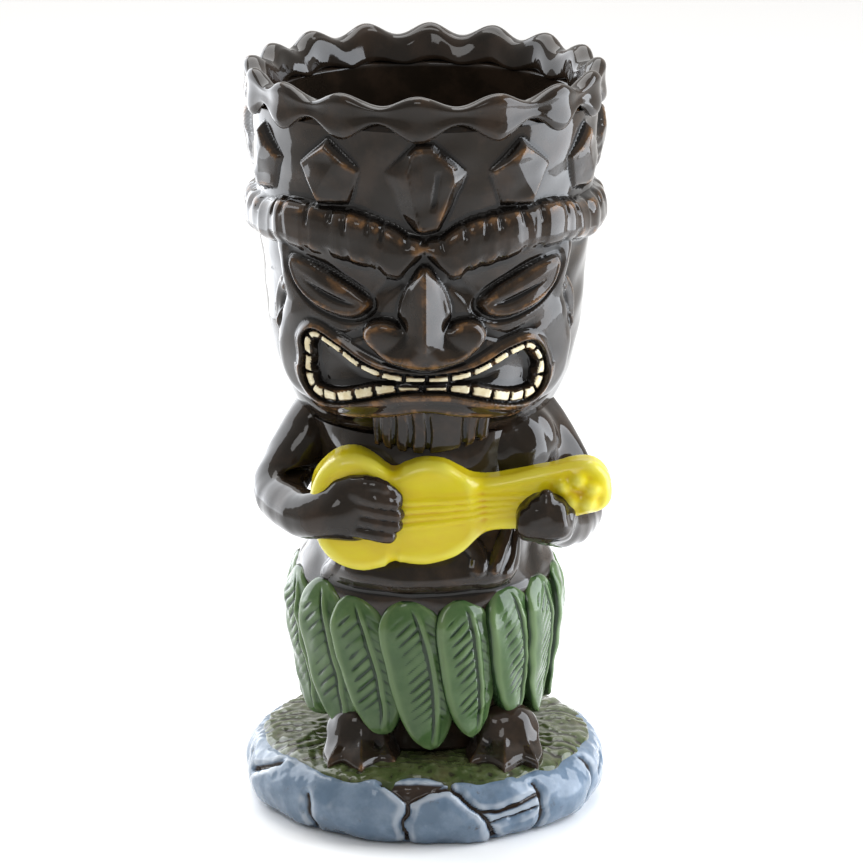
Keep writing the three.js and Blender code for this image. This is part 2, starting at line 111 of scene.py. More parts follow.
def hump(distance, width):
    """A rounded ridge, 1 on its line and 0 from width outwards."""
    t = np.clip(1 - (distance / width) ** 2, 0, 1)
    return t * t * (3 - 2 * t)


def wrapped(angle):
    """The same angle, from -180 up to 180 degrees."""
    return (angle + 180) % 360 - 180


def arc(angle, radius=WRAP):
    """The length of an angle round the axis."""
    return angle * DEG * radius


def spline(points, per=8, closed=False):
    """A smooth line through points, with a number of steps between each two of them."""
    p = np.asarray(points, float)
    n = len(p)
    t = (np.arange(per) / per)[:, None]
    out = []
    for i in range(n if closed else n - 1):
        near = np.arange(i - 1, i + 3)
        a, b, c, d = p[near % n] if closed else p[np.clip(near, 0, n - 1)]
        square = 2 * a - 5 * b + 4 * c - d
        cube = 3 * b - a - 3 * c + d
        out.append(0.5 * (2 * b + (c - a) * t + square * t**2 + cube * t**3))
    if not closed:
        out.append(p[-1:])
    return np.concatenate(out)


def along(rows, x):
    """A smooth function through [x, value] rows, flat beyond its ends."""
    line = spline(rows)
    return np.interp(x, line[:, 0], line[:, 1])


def line_distance(u, v, points, closed=False, reach=None):
    """Distance to a polyline and how far along it the nearest point is. With a reach,
    points further than that outside its box are only marked as FAR."""
    p = np.asarray(points, float)
    best, where = np.full(np.shape(u), FAR), np.zeros(np.shape(u))
    if reach is not None:
        low, high = p.min(0) - reach, p.max(0) + reach
        near = (u > low[0]) & (u < high[0]) & (v > low[1]) & (v < high[1])
        if near.any():
            best[near], where[near] = line_distance(u[near], v[near], p, closed)
        return best, where
    start = 0.0
    for i in range(len(p) if closed else len(p) - 1):
        a, b = p[i], p[(i + 1) % len(p)]
        e = b - a
        length = float(np.hypot(*e))
        if length < 1e-9:
            continue
        t = np.clip(((u - a[0]) * e[0] + (v - a[1]) * e[1]) / length**2, 0, 1)
        d = np.hypot(u - a[0] - t * e[0], v - a[1] - t * e[1])
        where = np.where(d < best, start + t * length, where)
        best = np.minimum(best, d)
        start += length
    return best, where


def inside(u, v, points):
    p = np.asarray(points, float)
    odd = np.zeros(np.shape(u), bool)
    for i in range(len(p)):
        (x0, y0), (x1, y1) = p[i - 1], p[i]
        if y0 == y1:
            continue
        crosses = (y0 > v) != (y1 > v)
        odd ^= crosses & (u < (x1 - x0) * (v - y0) / (y1 - y0) + x0)
    return odd


def depth_in(u, v, points, reach=6.0):
    """How far inside a closed outline a point is, negative outside, and -FAR beyond reach."""
    d, _ = line_distance(u, v, points, True, reach)
    near = d < FAR
    d[near] *= np.where(inside(u[near], v[near], points), 1, -1)
    return np.where(near, d, -d)


def wobble(x, y, z, size, seed, terms=7):
    """A smooth hand-made unevenness of about -1 to 1, with lumps of a given size."""
    rng = np.random.default_rng(seed)
    total = np.zeros(np.shape(x))
    for _ in range(terms):
        d = rng.normal(size=3)
        d *= rng.uniform(0.6, 1.5) * 2 * math.pi / (size * np.linalg.norm(d))
        total = total + np.sin(d[0] * x + d[1] * y + d[2] * z + rng.uniform(0, 6.3))
    return total / math.sqrt(terms)


def mirrored(half):
    """A closed outline from its right half, listed from the axis to the axis."""
    left = [(-x, y) for x, y in half if x > 0]
    return list(half) + left[::-1]


# ------------------------------------------------------------------ meshes
def add_mesh(name, points, faces, fields=None, normals=None, smooth=True):
    """A mesh object from points in millimetres, quads or triangles, and point fields."""
    mesh = bpy.data.meshes.new(name + LOOK)
    points = np.asarray(points, float).reshape(-1, 3)
    faces = np.asarray(faces, np.int32)
    corners = faces.shape[1]
    mesh.vertices.add(len(points))
    mesh.vertices.foreach_set("co", (points * MM).astype(np.float32).ravel())
    mesh.loops.add(faces.size)
    mesh.loops.foreach_set("vertex_index", faces.ravel())
    mesh.polygons.add(len(faces))
    mesh.polygons.foreach_set("loop_start", np.arange(0, faces.size, corners, dtype=np.int32))
    mesh.polygons.foreach_set("use_smooth", np.full(len(faces), smooth))
    mesh.update(calc_edges=True)
    mesh.validate()
    for key, values in (fields or {}).items():
        attribute = mesh.attributes.new(key, "FLOAT", "POINT")
        attribute.data.foreach_set("value", np.asarray(values, np.float32).ravel())
    if normals is not None:
        mesh.normals_split_custom_set_from_vertices(normals.reshape(-1, 3).tolist())
    made = bpy.data.objects.new(name + LOOK, mesh)
    bpy.context.scene.collection.objects.link(made)
    return made


def finish_piece(piece, slot):
    piece.data.materials.append(MATERIALS[slot])
    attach(piece, "root")
    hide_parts(piece.name.removesuffix(LOOK))


def grid_faces(rows, columns, rows_close=True, columns_close=True, turned=False):
    """Quads between the points of a sheet, which may close on itself either way."""
    i, j = np.meshgrid(
        np.arange(rows if rows_close else rows - 1),
        np.arange(columns if columns_close else columns - 1),
        indexing="ij",
    )
    k = (j + 1) % columns
    up = (i + 1) % rows
    corners = [i * columns + j, i * columns + k, up * columns + k, up * columns + j]
    if turned:
        corners[1], corners[3] = corners[3], corners[1]
    return np.stack(corners, -1).reshape(-1, 4)


def difference(points, axis, closes):
    if closes:
        return np.roll(points, -1, axis) - np.roll(points, 1, axis)
    return np.gradient(points, axis=axis)


def grid_normals(points, rows_close=False, columns_close=True):
    """Normals of a (rows, columns, 3) sheet."""
    n = np.cross(difference(points, 1, columns_close), difference(points, 0, rows_close))
    return n / np.maximum(np.linalg.norm(n, axis=2, keepdims=True), 1e-12)


def cylinder_points(angle, z, radius):
    """Points at angles round the axis, heights and radii."""
    a = angle * DEG
    return np.stack(np.broadcast_arrays(radius * np.sin(a), -radius * np.cos(a), z), -1)


def level_ring(angle, z, radius):
    """One level row of a sheet that runs round the axis."""
    return cylinder_points(angle[None], z, radius)


def shell(name, front, back, cells, normals, fields):
    """A closed solid from the marked cells of a sheet that wraps round the axis, with a
    back sheet behind it. Cell (i, j) lies between rows i, i + 1 and columns j, j + 1."""
    rows, columns = front.shape[:2]
    quad = grid_faces(rows, columns, rows_close=False).reshape(rows - 1, columns, 4)[cells]
    used, flat = np.unique(quad, return_inverse=True)
    quad = flat.reshape(quad.shape)
    count = len(used)
    # the rim: edges that only one cell has
    edge = np.concatenate([quad[:, [a, (a + 1) % 4]] for a in range(4)])
    key = edge[:, 0].astype(np.int64) * count + edge[:, 1]
    twin = edge[:, 1].astype(np.int64) * count + edge[:, 0]
    rim = edge[~np.isin(key, twin)]
    ring, side = np.unique(rim, return_inverse=True)
    side = side.reshape(rim.shape)
    a = 2 * count
    b = a + len(ring)
    wall = np.stack([side[:, 1] + a, side[:, 0] + a, side[:, 0] + b, side[:, 1] + b], 1)
    faces = np.concatenate([quad, quad[:, ::-1] + count, wall])
    before = front.reshape(-1, 3)[used]
    behind = back.reshape(-1, 3)[used]
    points = np.concatenate([before, behind, before[ring], behind[ring]])
    inward = before[ring] * [1, 1, 0]
    inward = -inward / np.linalg.norm(inward, axis=1, keepdims=True)
    n = normals.reshape(-1, 3)[used]
    all_normals = np.concatenate([n, -n, inward, inward])
    order = np.concatenate([used, used, used[ring], used[ring]])
    spread = {key: field.ravel()[order] for key, field in fields.items()}
    return add_mesh(name, points, faces, spread, all_normals)


def box_mean(field, axis, half, mode="edge"):
    """Means of 2 half + 1 neighbours along an axis."""
    size = 2 * half + 1
    pad = [(0, 0)] * field.ndim
    pad[axis] = (half + 1, half)
    total = np.cumsum(np.pad(field, pad, mode=mode), axis=axis, dtype=float)
    total = np.moveaxis(total, axis, 0)
    return np.moveaxis((total[size:] - total[:-size]) / size, 0, axis)


def blur(sheet, rows, columns, closes=True):
    """A Gaussian-like blur of a sheet by repeated means, half widths given in samples."""
    for _ in range(3):
        sheet = box_mean(sheet, 0, rows)
        sheet = box_mean(sheet, 1, columns, "wrap" if closes else "edge")
    return sheet


def sample(grid, at):
    """Linear samples of a grid at fractional positions, given as rows of coordinates."""
    base = np.clip(np.floor(at).astype(int), 0, np.array(grid.shape) - 2)
    part = np.clip(at - base, 0, 1)
    total = 0
    for corner in np.ndindex(*[2] * grid.ndim):
        weight = np.where(np.array(corner) == 1, part, 1 - part).prod(1)
        total = total + weight * grid[tuple((base + corner).T)]
    return total


# ------------------------------------------------------------------ head wall
WALL = [
    (96.8, 28.2), (99, 30.2), (102, 32.0), (105, 33.4), (108, 34.5), (113, 35.8), (120, 36.8),
    (128, 37.6), (137, 38.4), (146, 39.2), (157, 40.1), (166, 40.5), (172, 40.7),
]
INNER_WALL = [
    (104, 27.5), (113, 31.0), (121, 32.8), (131, 33.8), (150, 34.8), (163, 35.1), (170.6, 35.4),
    (171.5, 36.6),
]

# Outlines and lines on the head, in degrees from the front and height. MASK, MOUTH and NOSE
# are right halves, and the left side mirrors the eye, the cheek, the folds and the brow.
MASK = [
    (0, 105.0), (12, 103.6), (25, 102.2), (37, 101.8), (49, 102.6), (58, 105), (63.5, 109.5),
    (64, 115.5), (61, 122), (56.5, 127.5), (54, 132), (55, 138), (56, 146), (40, 150), (0, 150),
]
MOUTH = [
    (0, 110.5), (7.2, 110.3), (14.4, 109.2), (23.2, 107.5), (31.1, 106.2), (38.7, 106.1),
    (44, 108.1), (46, 112.5), (43.6, 118), (39.5, 121.5), (35.8, 122.2), (31.5, 121.2),
    (26.7, 119.6), (21.5, 117.7), (14.8, 115.9), (8.1, 115.1), (0, 114.7),
]
NOSE = [
    (0, 115.7), (6, 116.5), (13, 118.2), (18.3, 121.2), (20.2, 124.2), (18, 127), (13.5, 128.2),
    (9, 127.6), (7.6, 126.9), (8.4, 130), (7, 134), (4.2, 137.9), (1.6, 140.6), (0, 141),
]
EYE = [
    (47.5, 140), (46.5, 134.5), (42, 131), (34, 128.5), (26, 127.5), (20.5, 128.6), (17.8, 131.3),
    (23, 134.2), (32, 137.3), (41, 140),
]
EYE_SLIT = [(22, 130.6), (27, 132.0), (34, 133.6), (41.5, 135.2), (36, 132.7), (29, 130.8)]
CHEEK = [(50, 133.2), (56, 132), (60.5, 127.5), (62.5, 121), (62, 115)]
BROW_LOW = [
    (0, 142.6), (3.5, 140.4), (7.5, 137.0), (11, 136.9), (16, 138.8), (24, 140.2), (33, 141.5),
    (44, 142), (56, 141.6), (75, 140.5), (180, 140),
]
BROW_HIGH = [
    (0, 147.3), (5, 147.6), (10, 149.6), (18, 151.7), (28, 153), (42, 153.3), (54, 152.4),
    (75, 150.6), (180, 150),
]
BROW_NOTCHES = [  # degrees either side of the front, strength
    (0, 1), (6.5, 0.7), (13, 0.9), (18.5, 0.8), (25, 1), (31.5, 0.9), (40, 1), (49, 0.8),
]
BROW_NOTCHES += [(57 + 9 * i, 0.9 if i % 2 else 1) for i in range(14)]
KITE = [
    (0, 147.6), (4.5, 148.4), (9.5, 155), (13.8, 162.4), (2.6, 169), (-2.6, 169), (-13.4, 162),
    (-8, 153), (-3.2, 148.4),
]
KITE_PLANE = [
    (-1.5, 148.9), (4, 149.6), (9.3, 160.4), (8.6, 163.6), (1.8, 167.8), (-3.4, 167.2),
    (-5.2, 162.6),
]
SHIELD = [(0, 5.9), (-11.2, -0.9), (-7, -8.6), (4, -10.2), (11.4, -0.8)]
SHIELD_FOLD = [(-6, 0.4), (-0.5, -2.0), (10, 3.6)]  # distance below its middle, place across
SHIELD_HEIGHT = 163.0
MOTIFS = 11  # round the crown, the kite among them
SHIELDS = [f"crown_shield_{i:02d}" for i in range(1, MOTIFS)]

MASK_ROLL = [(0, 3.0), (30, 3.4), (50, 4.6), (180, 4.6)]
NOSE_FOLD = [(21, 124), (29, 122.5), (38, 124.5), (46, 126.5)]  # to the mouth's corner
BROW_FOLD = [(9, 137), (14, 133.5), (17, 130)]
NOSE_HEIGHT = [
    (115, 0.2), (117, 1.1), (119.5, 2.1), (122.5, 2.6), (127, 2.3), (133, 1.3), (139, 0.3),
    (142, 0),
]
LIPS_MEET = [(0, 112.1), (30, 113), (60, 114)]
TEETH_MEET = [(0, 112.1), (8, 112.1), (14, 112.3), (60, 112.3)]
EYE_MIDDLE = [(17, 131.5), (30, 133.2), (48, 139)]
TOOTH_WIDTH = 4.75
THROAT = [(NECK, 22.4), (100, 24.4), (104, 27.2)]
PIECE_DEPTH = 0.6  # how far a piece of the head reaches into the wall
BURIED = 0.5  # how far the cup sinks under a piece
INSIDE_EDGE = -0.02  # the edge field inside the cup
FIELD_HEIGHT = 0.3  # steps of the sheet that the fields of the head come from
FIELD_ANGLE = 0.5  # the same round the axis, in degrees


def mm_outline(points):
    return [(arc(a), z) for a, z in points]


def smooth_outline(half, per=5):
    return spline(mm_outline(mirrored(half)), per, closed=True)


def smooth_loop(points):
    return spline(mm_outline(points), 6, closed=True)


FINE = np.concatenate([np.arange(0, 35, 0.5), np.arange(35, 47, 0.3), np.arange(47, 66.2, 0.5)])
COLUMNS = np.concatenate([-FINE[:0:-1], FINE, np.arange(67.4, 293.3, 1.4)])
ROW_BANDS = [(NECK, 101, 0.6), (101, 124.5, 0.29), (124.5, 144, 0.42), (144, 171.4, 0.5)]
ROWS = np.concatenate([*(np.arange(*band) for band in ROW_BANDS), [WALL_TOP]])

# The cup and the pieces on it. Where two of them meet, a cell goes to the later one, apart
# from teeth, which give way.
LABELS = ["head_cup", "brow_band", "nose", "eye_right", "eye_left", "cheek_right", "cheek_left"]
LABELS += ["lips", "teeth_upper", "teeth_lower", "crown_kite", *SHIELDS]


def head_relief(angle, z):
    """Height above the wall of every point of the head, and which piece it belongs to."""
    angle = wrapped(angle)
    sides = {"right": angle < 0, "left": angle >= 0}
    away = np.abs(angle)
    u = arc(angle)
    across = np.abs(u)
    flat = np.zeros(np.shape(u))
    hand = wobble(u, z, flat, 11, 3) * 0.13 + wobble(u, z, flat, 26, 4) * 0.16

    # the mask: a plain raised face with a full muzzle
    d_mask = depth_in(u, z, smooth_outline(MASK))
    corner = 1 - 0.5 * ramp(z, 108, 104) * ramp(away, 52, 40)
    moat = 0.25 * ramp(-d_mask, 0.2, 1.5) * ramp(d_mask, -3.5, -1.5)
    mask = 2.9 * roll(d_mask + 0.3, along(MASK_ROLL, away) * corner) - moat
    mask = mask * (1 - ramp(z, 143, 149))
    muzzle = 1.2 * ramp(1 - (u / 25) ** 2 - ((z - 112) / 13) ** 2, 0, 0.75)
    chin = 2.7 * ramp(z, 115, 106) * ramp(away, 54, 22) * roll(d_mask + 0.3, 1.5)
    face = mask + (muzzle + chin)
    socket = 1.4 * hump(np.hypot((away - 28) / 21, (z - 136) / 7), 1.0)
    temple = 0.8 * ramp(away, 46, 52) * ramp(away, 60, 54)
    temple = temple * ramp(z, 128, 133) * ramp(z, 145, 140)
    base = face - socket + temple + hand

    # the mouth, whose right corner is drawn up and whose left corner hangs a little
    mouth = smooth_outline(MOUTH, 18)
    drawn = ramp(-u, 14, 26) * ramp(z, 115, 121)
    hung = ramp(u, 14, 24) * ramp(z, 113, 119)
    mouth_u, mouth_z = u + 1.6 * drawn, z - 1.1 * drawn + 1.3 * hung
    d_mouth = depth_in(mouth_u, mouth_z, mouth)
    _, s_mouth = line_distance(mouth_u, mouth_z, mouth, True, 6)
    # folds that run from the wings of the nose to the mouth, and below the brows
    d_fold, s_fold = line_distance(across, z, spline(mm_outline(NOSE_FOLD)), reach=4)
    base = base - 0.6 * hump(d_fold, 1.7) * ramp(s_fold, 16, 7)
    d_fold, _ = line_distance(across, z, spline(mm_outline(BROW_FOLD)), reach=4)
    base = base - 0.5 * hump(d_fold, 2.2)
    recess = base - 2.0 * ramp(d_mouth, -0.2, 0.8) - 0.5 * ramp(d_mouth, 2.2, 5)
    base = np.where(d_mouth > -0.2, recess, base)

    piece = np.zeros(np.shape(u), int)
    height = base.copy()

    def lay(name, h, k, limit):
        nonlocal height, piece
        piece = np.where((h > height) & limit, LABELS.index(name), piece)
        height = smax(height, np.where(limit, h, BELOW), k)

    # lips: a crisp ridge at the teeth that rolls over to the face
    lips_meet = along(LIPS_MEET, away)
    lower = z < lips_meet
    out = -d_mouth
    width = np.where(lower, 3.4, 2.6)
    crest = np.where(lower, 1.5, 1.25)
    lip = face + hand + crest * ramp(out, -0.35, 0.35) * (1 - ramp(out, 0.4, width))
    lip = lip - 3 * ramp(out, width - 0.3, width + 0.8) - 4 * ramp(out, 0.2, -0.5)
    lay("lips", lip, 0.3, (out > -0.5) & (out < width + 0.4))

    # teeth: one band of pillows inside the lips, cut into single teeth
    band = 2.1 + 0.85 * ramp(z - lips_meet, 0.8, -1.2) - 0.35 * ramp(away, 9, 0) * ~lower
    gap = np.abs((s_mouth / TOOTH_WIDTH + 0.5) % 1 - 0.5) * TOOTH_WIDTH - 0.22
    meet = np.abs(z - along(TEETH_MEET, away))
    inner = np.minimum(d_mouth - 0.42, band - d_mouth)
    inner = np.minimum(inner, np.where(away < 12, meet - 0.12, 9))
    reach = np.minimum(inner, gap)
    tooth = face - 0.25 + 0.75 * roll(reach - 0.02, 0.7) - 2.0 * ramp(-reach, -0.05, 0.5)
    height = np.where(reach > -0.5, np.maximum(height, tooth), height)
    for name, half in (("teeth_upper", ~lower), ("teeth_lower", lower)):
        piece = np.where((reach > 0.03) & half, LABELS.index(name), piece)

    # nose
    d_nose = depth_in(u, z, smooth_outline(NOSE, 6))
    bridge = along(NOSE_HEIGHT, z) + 2.3 - 1.02 * across * ramp(z, 116, 125.5)
    wing = 1 - ((across - 8.4) / 5.4) ** 2 - ((z - 122.8) / 5.2) ** 2
    wing = 1.7 * np.sqrt(np.clip(wing, 0, 1))
    below = 0.75 * np.clip(1 - np.hypot((across - 3.2) / 3.6, (z - 119.2) / 3), 0, 1)
    body = smax(np.maximum(bridge, 0), wing, 0.5 + 1.6 * ramp(z, 126, 121)) + below
    nose = mask + hand + 1.9 * roll(d_nose, 1.9) + body * roll(d_nose, 2.2)
    lay("nose", nose - 2.5 * ramp(-d_nose, 0, 0.8), 0.5, d_nose > -0.6)

    # eyes: a bulge with a rim below it, tucked under the brow, and a slit
    d_eye = depth_in(across, z, smooth_loop(EYE))
    d_slit = depth_in(across, z, smooth_loop(EYE_SLIT))
    above = z - along(EYE_MIDDLE, away)
    under = ramp(above, 1.2, -0.8)
    lid = 0.35 * ramp(d_slit, -3.4, -0.2) * ramp(above, -0.8, 0.6)
    eyeball = 1.0 * roll(d_eye - 0.1, 1.6) + 0.55 * roll(d_eye, 5.5) + lid
    eyeball = eyeball - 0.75 * ramp(d_slit, -0.15, 0.8)
    rim_line = 0.32 * hump(d_eye - 0.7, 0.7) * under
    groove = 0.55 * hump(d_eye + 0.7, 1.0) * (0.25 + 0.75 * under)
    eye = base + socket * 0.55 + eyeball + rim_line - 2 * ramp(-d_eye, 0.15, 0.9)
    height = height - groove * (d_eye < 0.6)
    for name, half in sides.items():
        lay("eye_" + name, eye, 0.35, (d_eye > -0.6) & half)

    # cheeks
    d_cheek, s_cheek = line_distance(across, z, spline(mm_outline(CHEEK)), reach=4)
    fade = ramp(s_cheek, 0, 4) * ramp(s_cheek, 21, 14)
    cheek = base + (1.6 * hump(d_cheek, 2.6) + 0.1) * fade
    cheek = cheek - 2.6 * ramp(d_cheek, 1.9, 2.8) - 2 * (1 - fade)
    for name, half in sides.items():
        lay("cheek_" + name, cheek, 0.8, (d_cheek < 2.9) & half)

    # brow band: a roll cut by grooves into uneven blocks
    low = along(BROW_LOW, away) + 0.35 * wobble(u, flat, flat, 13, 8)
    high = along(BROW_HIGH, away) + 0.3 * wobble(u, flat, flat, 12, 9)
    d_band = np.minimum(z - low, high - z)
    t = (z - low) / (high - low)
    full = 3.1 + 0.7 * ramp(away, 64, 46) - 0.5 * ramp(away, 5, 0)
    band_height = full * roll(d_band, 3.6) * (0.93 + 0.12 * (1 - t))
    cut = flat
    broad = 1 + 0.7 * ramp(away, 62, 70)
    for k, (at, strength) in enumerate(BROW_NOTCHES):
        for sign in (-1, 1):
            shift = 1.1 * math.sin(2.7 * k + sign) if at else 0
            lean = 1.6 * (t - 0.5) * math.sin(1.9 * k + 2 * sign)
            d = arc(np.abs(angle - sign * at - shift - lean))
            top_cut = 0.9 * ramp(t, 0.55 + 0.1 * math.sin(3 * k + sign), 0.78)
            low_cut = 0.6 * ramp(t, 0.36 + 0.1 * math.sin(5 * k), 0.14) * ramp(t, 0.0, 0.07)
            ends = np.maximum(top_cut * hump(d, 0.75 * broad), low_cut * hump(d, 1.15 * broad))
            cut = np.maximum(cut, strength * np.maximum(ends, 0.22 * hump(d, 1.6)))
    block = 0.22 * wobble(u, flat, flat, 9, 12)
    step_up = 0.3 * ramp(t, 0.78, 0.5)
    brow = band_height + (block + step_up) * roll(d_band, 2)
    brow = brow - 0.95 * cut * roll(d_band + 0.5, 1.2) + hand * 0.6
    lay("brow_band", brow - 2.5 * ramp(-d_band, 0, 0.8), 0.55, d_band > -0.7)

    # crown: a faceted kite in front and shields beside it
    ground = hand * 0.8 + 0.15 * wobble(u, z, flat, 7, 22)
    d_kite = depth_in(u, z, mm_outline(KITE))
    d_plane = depth_in(u, z, mm_outline(KITE_PLANE))
    rise = np.clip(d_kite, 0, 9)
    bevel = 2.3 * rise / (rise + np.clip(-d_plane, 0.001, 9))
    plateau = 2.3 + 0.05 * (u - 1) - 0.0036 * (z - 158) ** 2
    slit = 0.6 * hump(u - 2.2 - 0.12 * (z - 158), 0.9)
    slit = slit * np.sqrt(np.clip(1 - ((z - 158.3) / 4.6) ** 2, 0, 1))
    ridge = 0.15 * hump(u + 1.2 + 0.09 * (z - 160), 1.0) * ramp(z, 152, 158)
    kite = ground + np.where(d_plane > 0, plateau, bevel) + ridge * ramp(d_kite, 0.8, 2.4)
    kite = kite - slit - 2.5 * ramp(-d_kite, 0, 0.6)
    lay("crown_kite", kite, 0.3, d_kite > -0.4)
    step = 360 / MOTIFS
    turn = (angle + 360 + step / 2) % 360
    number = np.floor(turn / step).astype(int) % MOTIFS
    lu = arc(turn % step - step / 2) * np.where(number > MOTIFS / 2, -1.0, 1.0)
    lz = z - SHIELD_HEIGHT
    d_shield = depth_in(lu, lz, mm_outline(SHIELD))
    off_fold = lu - np.interp(-lz, *zip(*SHIELD_FOLD))
    facet = 2.35 - 0.17 * np.maximum(off_fold, 0) + 0.24 * np.minimum(off_fold, 0)
    shield = ground + smin(1.5 * d_shield + 0.4, facet, 0.25)
    shield = shield - 2.5 * ramp(-d_shield / broad, 0, 0.6)
    for i, name in enumerate(SHIELDS, 1):
        lay(name, shield, 0.3, (d_shield > -0.4) & (number == i))
    return height, piece


def head_fields(angle, z):
    """The two glaze fields, from an even sheet of the head and blurred copies of it."""
    fine_angle = np.arange(-180, 180, FIELD_ANGLE)
    fine_z = np.arange(NECK, WALL_TOP + FIELD_HEIGHT, FIELD_HEIGHT)
    relief, _ = head_relief(*np.meshgrid(fine_angle, fine_z))

    def sharpened(reach):
        rows, columns = round(reach / FIELD_HEIGHT), round(reach / arc(FIELD_ANGLE))
        return relief - blur(relief, rows, columns)

    row_at = (z - NECK) / FIELD_HEIGHT
    column_at = ((angle + 180) % 360) / FIELD_ANGLE
    at = np.stack([row_at.ravel(), column_at.ravel()], 1)

    def placed(field):
        return sample(np.pad(field, [(0, 0), (0, 1)], mode="wrap"), at)

    near = blur(sharpened(0.45), 1, 1) * 1.5
    return {"edge": placed(near), "swell": placed(sharpened(1.5))}


def make_head():
    angle, z = np.meshgrid(COLUMNS, ROWS)
    relief, piece = head_relief(angle, z)
    wall = along(WALL, z)
    front = cylinder_points(angle, z, wall + relief)
    normals = grid_normals(front)
    fields = head_fields(angle, z)
    beside = np.roll(piece, -1, 1)
    corner = np.stack([piece[:-1], piece[1:], beside[:-1], beside[1:]])
    cell, least = corner.max(0), corner.min(0)
    enamel = (cell == LABELS.index("teeth_upper")) | (cell == LABELS.index("teeth_lower"))
    cell = np.where(enamel & (least < LABELS.index("teeth_upper")), least, cell)
    back = cylinder_points(angle, z, wall - PIECE_DEPTH + np.minimum(relief, 0))
    for index, name in enumerate(LABELS[1:], 1):
        made = shell(name, front, back, cell == index, normals, fields)
        finish_piece(made, "cream_glaze" if name.startswith("teeth") else "brown_glaze")
    # the cup itself: the front sheet, sunk under each piece, then over the top, the
    # inside and the floor of the head
    free = (cell == 0) | np.roll(cell == 0, 1, 1)
    owned = np.zeros(piece.shape, bool)
    owned[:-1] |= free
    owned[1:] |= free
    sunk = np.where(owned, relief, np.minimum(relief, 0.0) - BURIED)
    outside = cylinder_points(angle, z, wall + sunk)
    inner_z = np.concatenate([[WALL_TOP, 171.2, 170.8, 170.0], np.linspace(167, 104, 13)])
    ia, iz = np.meshgrid(COLUMNS, inner_z)
    uneven = 0.15 * wobble(ia * 0.6, iz, ia * 0, 30, 41)
    inner = cylinder_points(ia, iz, along(INNER_WALL, iz) + uneven)
    ta, tz = np.meshgrid(COLUMNS, np.linspace(103, NECK, 4))
    throat = cylinder_points(ta, tz, along(THROAT, tz))
    sheet = np.concatenate([outside, inner, throat])
    rows, columns = sheet.shape[:2]
    all_normals = np.concatenate([normals, grid_normals(sheet)[len(outside) :]])
    dark = np.full((rows - len(outside)) * columns, INSIDE_EDGE)
    spread = {key: np.concatenate([field, dark]) for key, field in fields.items()}
    cup = add_mesh("head_cup", sheet, grid_faces(rows, columns), spread, all_normals)
    finish_piece(cup, "brown_glaze")


# ------------------------------------------------------------------ lip
SCALLOPS = 16
BUNCHING = 1.4  # makes the scallops wider at the front and narrower at the back
SIDE_BUNCHING = 0.5  # makes them narrower at the sides
SCALLOP_TURN = 0.47
LIP_STEPS = 420
LIP_SECTION = [  # share of the height, offset of the radius, 1 where it hangs inside
    (0.03, -2.9, 0), (-0.04, -1.6, 0), (-0.02, -0.95, 0), (0.05, -0.4, 0), (0.16, -0.05, 0),
    (0.3, -0.1, 0), (0.5, -0.3, 0), (0.68, -0.2, 0), (0.82, -0.05, 0), (0.92, -0.35, 0),
    (0.985, -1.05, 0), (1.0, -1.9, 0), (0.985, -2.8, 0), (0.93, -3.7, 0), (0.82, -4.6, 1),
    (0.66, -5.3, 1), (0.45, -5.9, 1), (0.24, -6.4, 1), (0.08, -6.7, 1), (-0.04, -6.7, 1),
    (-0.1, -6.2, 1),
]
LIP_TUCK = [(37.2, 172.0), (38.6, 170.9), (39.9, 171.2)]  # radius, height under the lip


def make_lip():
    angle = np.arange(LIP_STEPS) * 360 / LIP_STEPS
    a = angle * DEG
    phase = SCALLOPS * a - BUNCHING * np.sin(a) - SIDE_BUNCHING * np.sin(2 * a) + SCALLOP_TURN
    uneven = wobble(angle * 0.6, angle * 0, angle * 0, 40, 51)
    wave = np.cos(phase) + 0.12 * uneven
    top = HEIGHT - 1.5 + 1.35 * wave
    bottom = 171.3 - 1.8 * wave + 0.25 * uneven
    reach = RIM_RADIUS - 0.9 + 0.55 * wave
    fold = 171.9 + 0.55 * np.cos(phase + 0.6)
    share, offset, within = (column[:, None] for column in spline(LIP_SECTION, 3).T)
    within = np.clip(within, 0, 1)
    foot = bottom[None] * (1 - within) + fold[None] * within
    tuck = np.repeat(np.array(LIP_TUCK).T[:, :, None], LIP_STEPS, 2)
    r = np.concatenate([reach[None] + offset, tuck[0]])
    z = np.concatenate([foot + (top[None] - foot) * share, tuck[1]])
    rough = 0.12 * wobble(r * np.sin(a), r * np.cos(a), z, 9, 52)
    points = cylinder_points(angle, z, r + rough)
    normals = grid_normals(points, rows_close=True)
    mean = np.roll(points, 2, 0) + np.roll(points, -2, 0)
    mean = (mean + np.roll(points, 3, 1) + np.roll(points, -3, 1)) / 4
    edge = ((points - mean) * normals).sum(2)
    fields = {"edge": np.clip(edge, -0.3, 0.3) * 0.7, "swell": edge * 0.6}
    faces = grid_faces(len(points), LIP_STEPS)
    lip = add_mesh("scalloped_lip", points, faces, fields, normals)
    finish_piece(lip, "brown_glaze")


# ------------------------------------------------------------------ trunk
TRUNK = [
    (17.3, 22.5), (23, 23), (30, 27), (40, 29), (50, 29.7), (54, 30.2), (57, 30.6), (60, 29.9),
    (63.5, 28.0), (68, 26.4), (78, 25.8), (88, 26.6), (95, 28.0), (97, 28.4),
]
FRONT = [
    (48, 30.2), (52, 30.9), (56, 31.1), (58.8, 30.9), (60.2, 31.9), (62.4, 33.2), (65, 32.7),
    (69, 30.9), (73, 29.5), (80, 29.3), (87, 30.6), (92, 30.6), (97, 29.6),
]
TRUNK_INSIDE = [
    (97, 22.4), (88, 21), (74, 20.3), (64, 22.5), (56, 25.3), (44, 24.6), (31, 22), (24, 17.5),
    (22.3, 8), (22.2, 0.5),
]

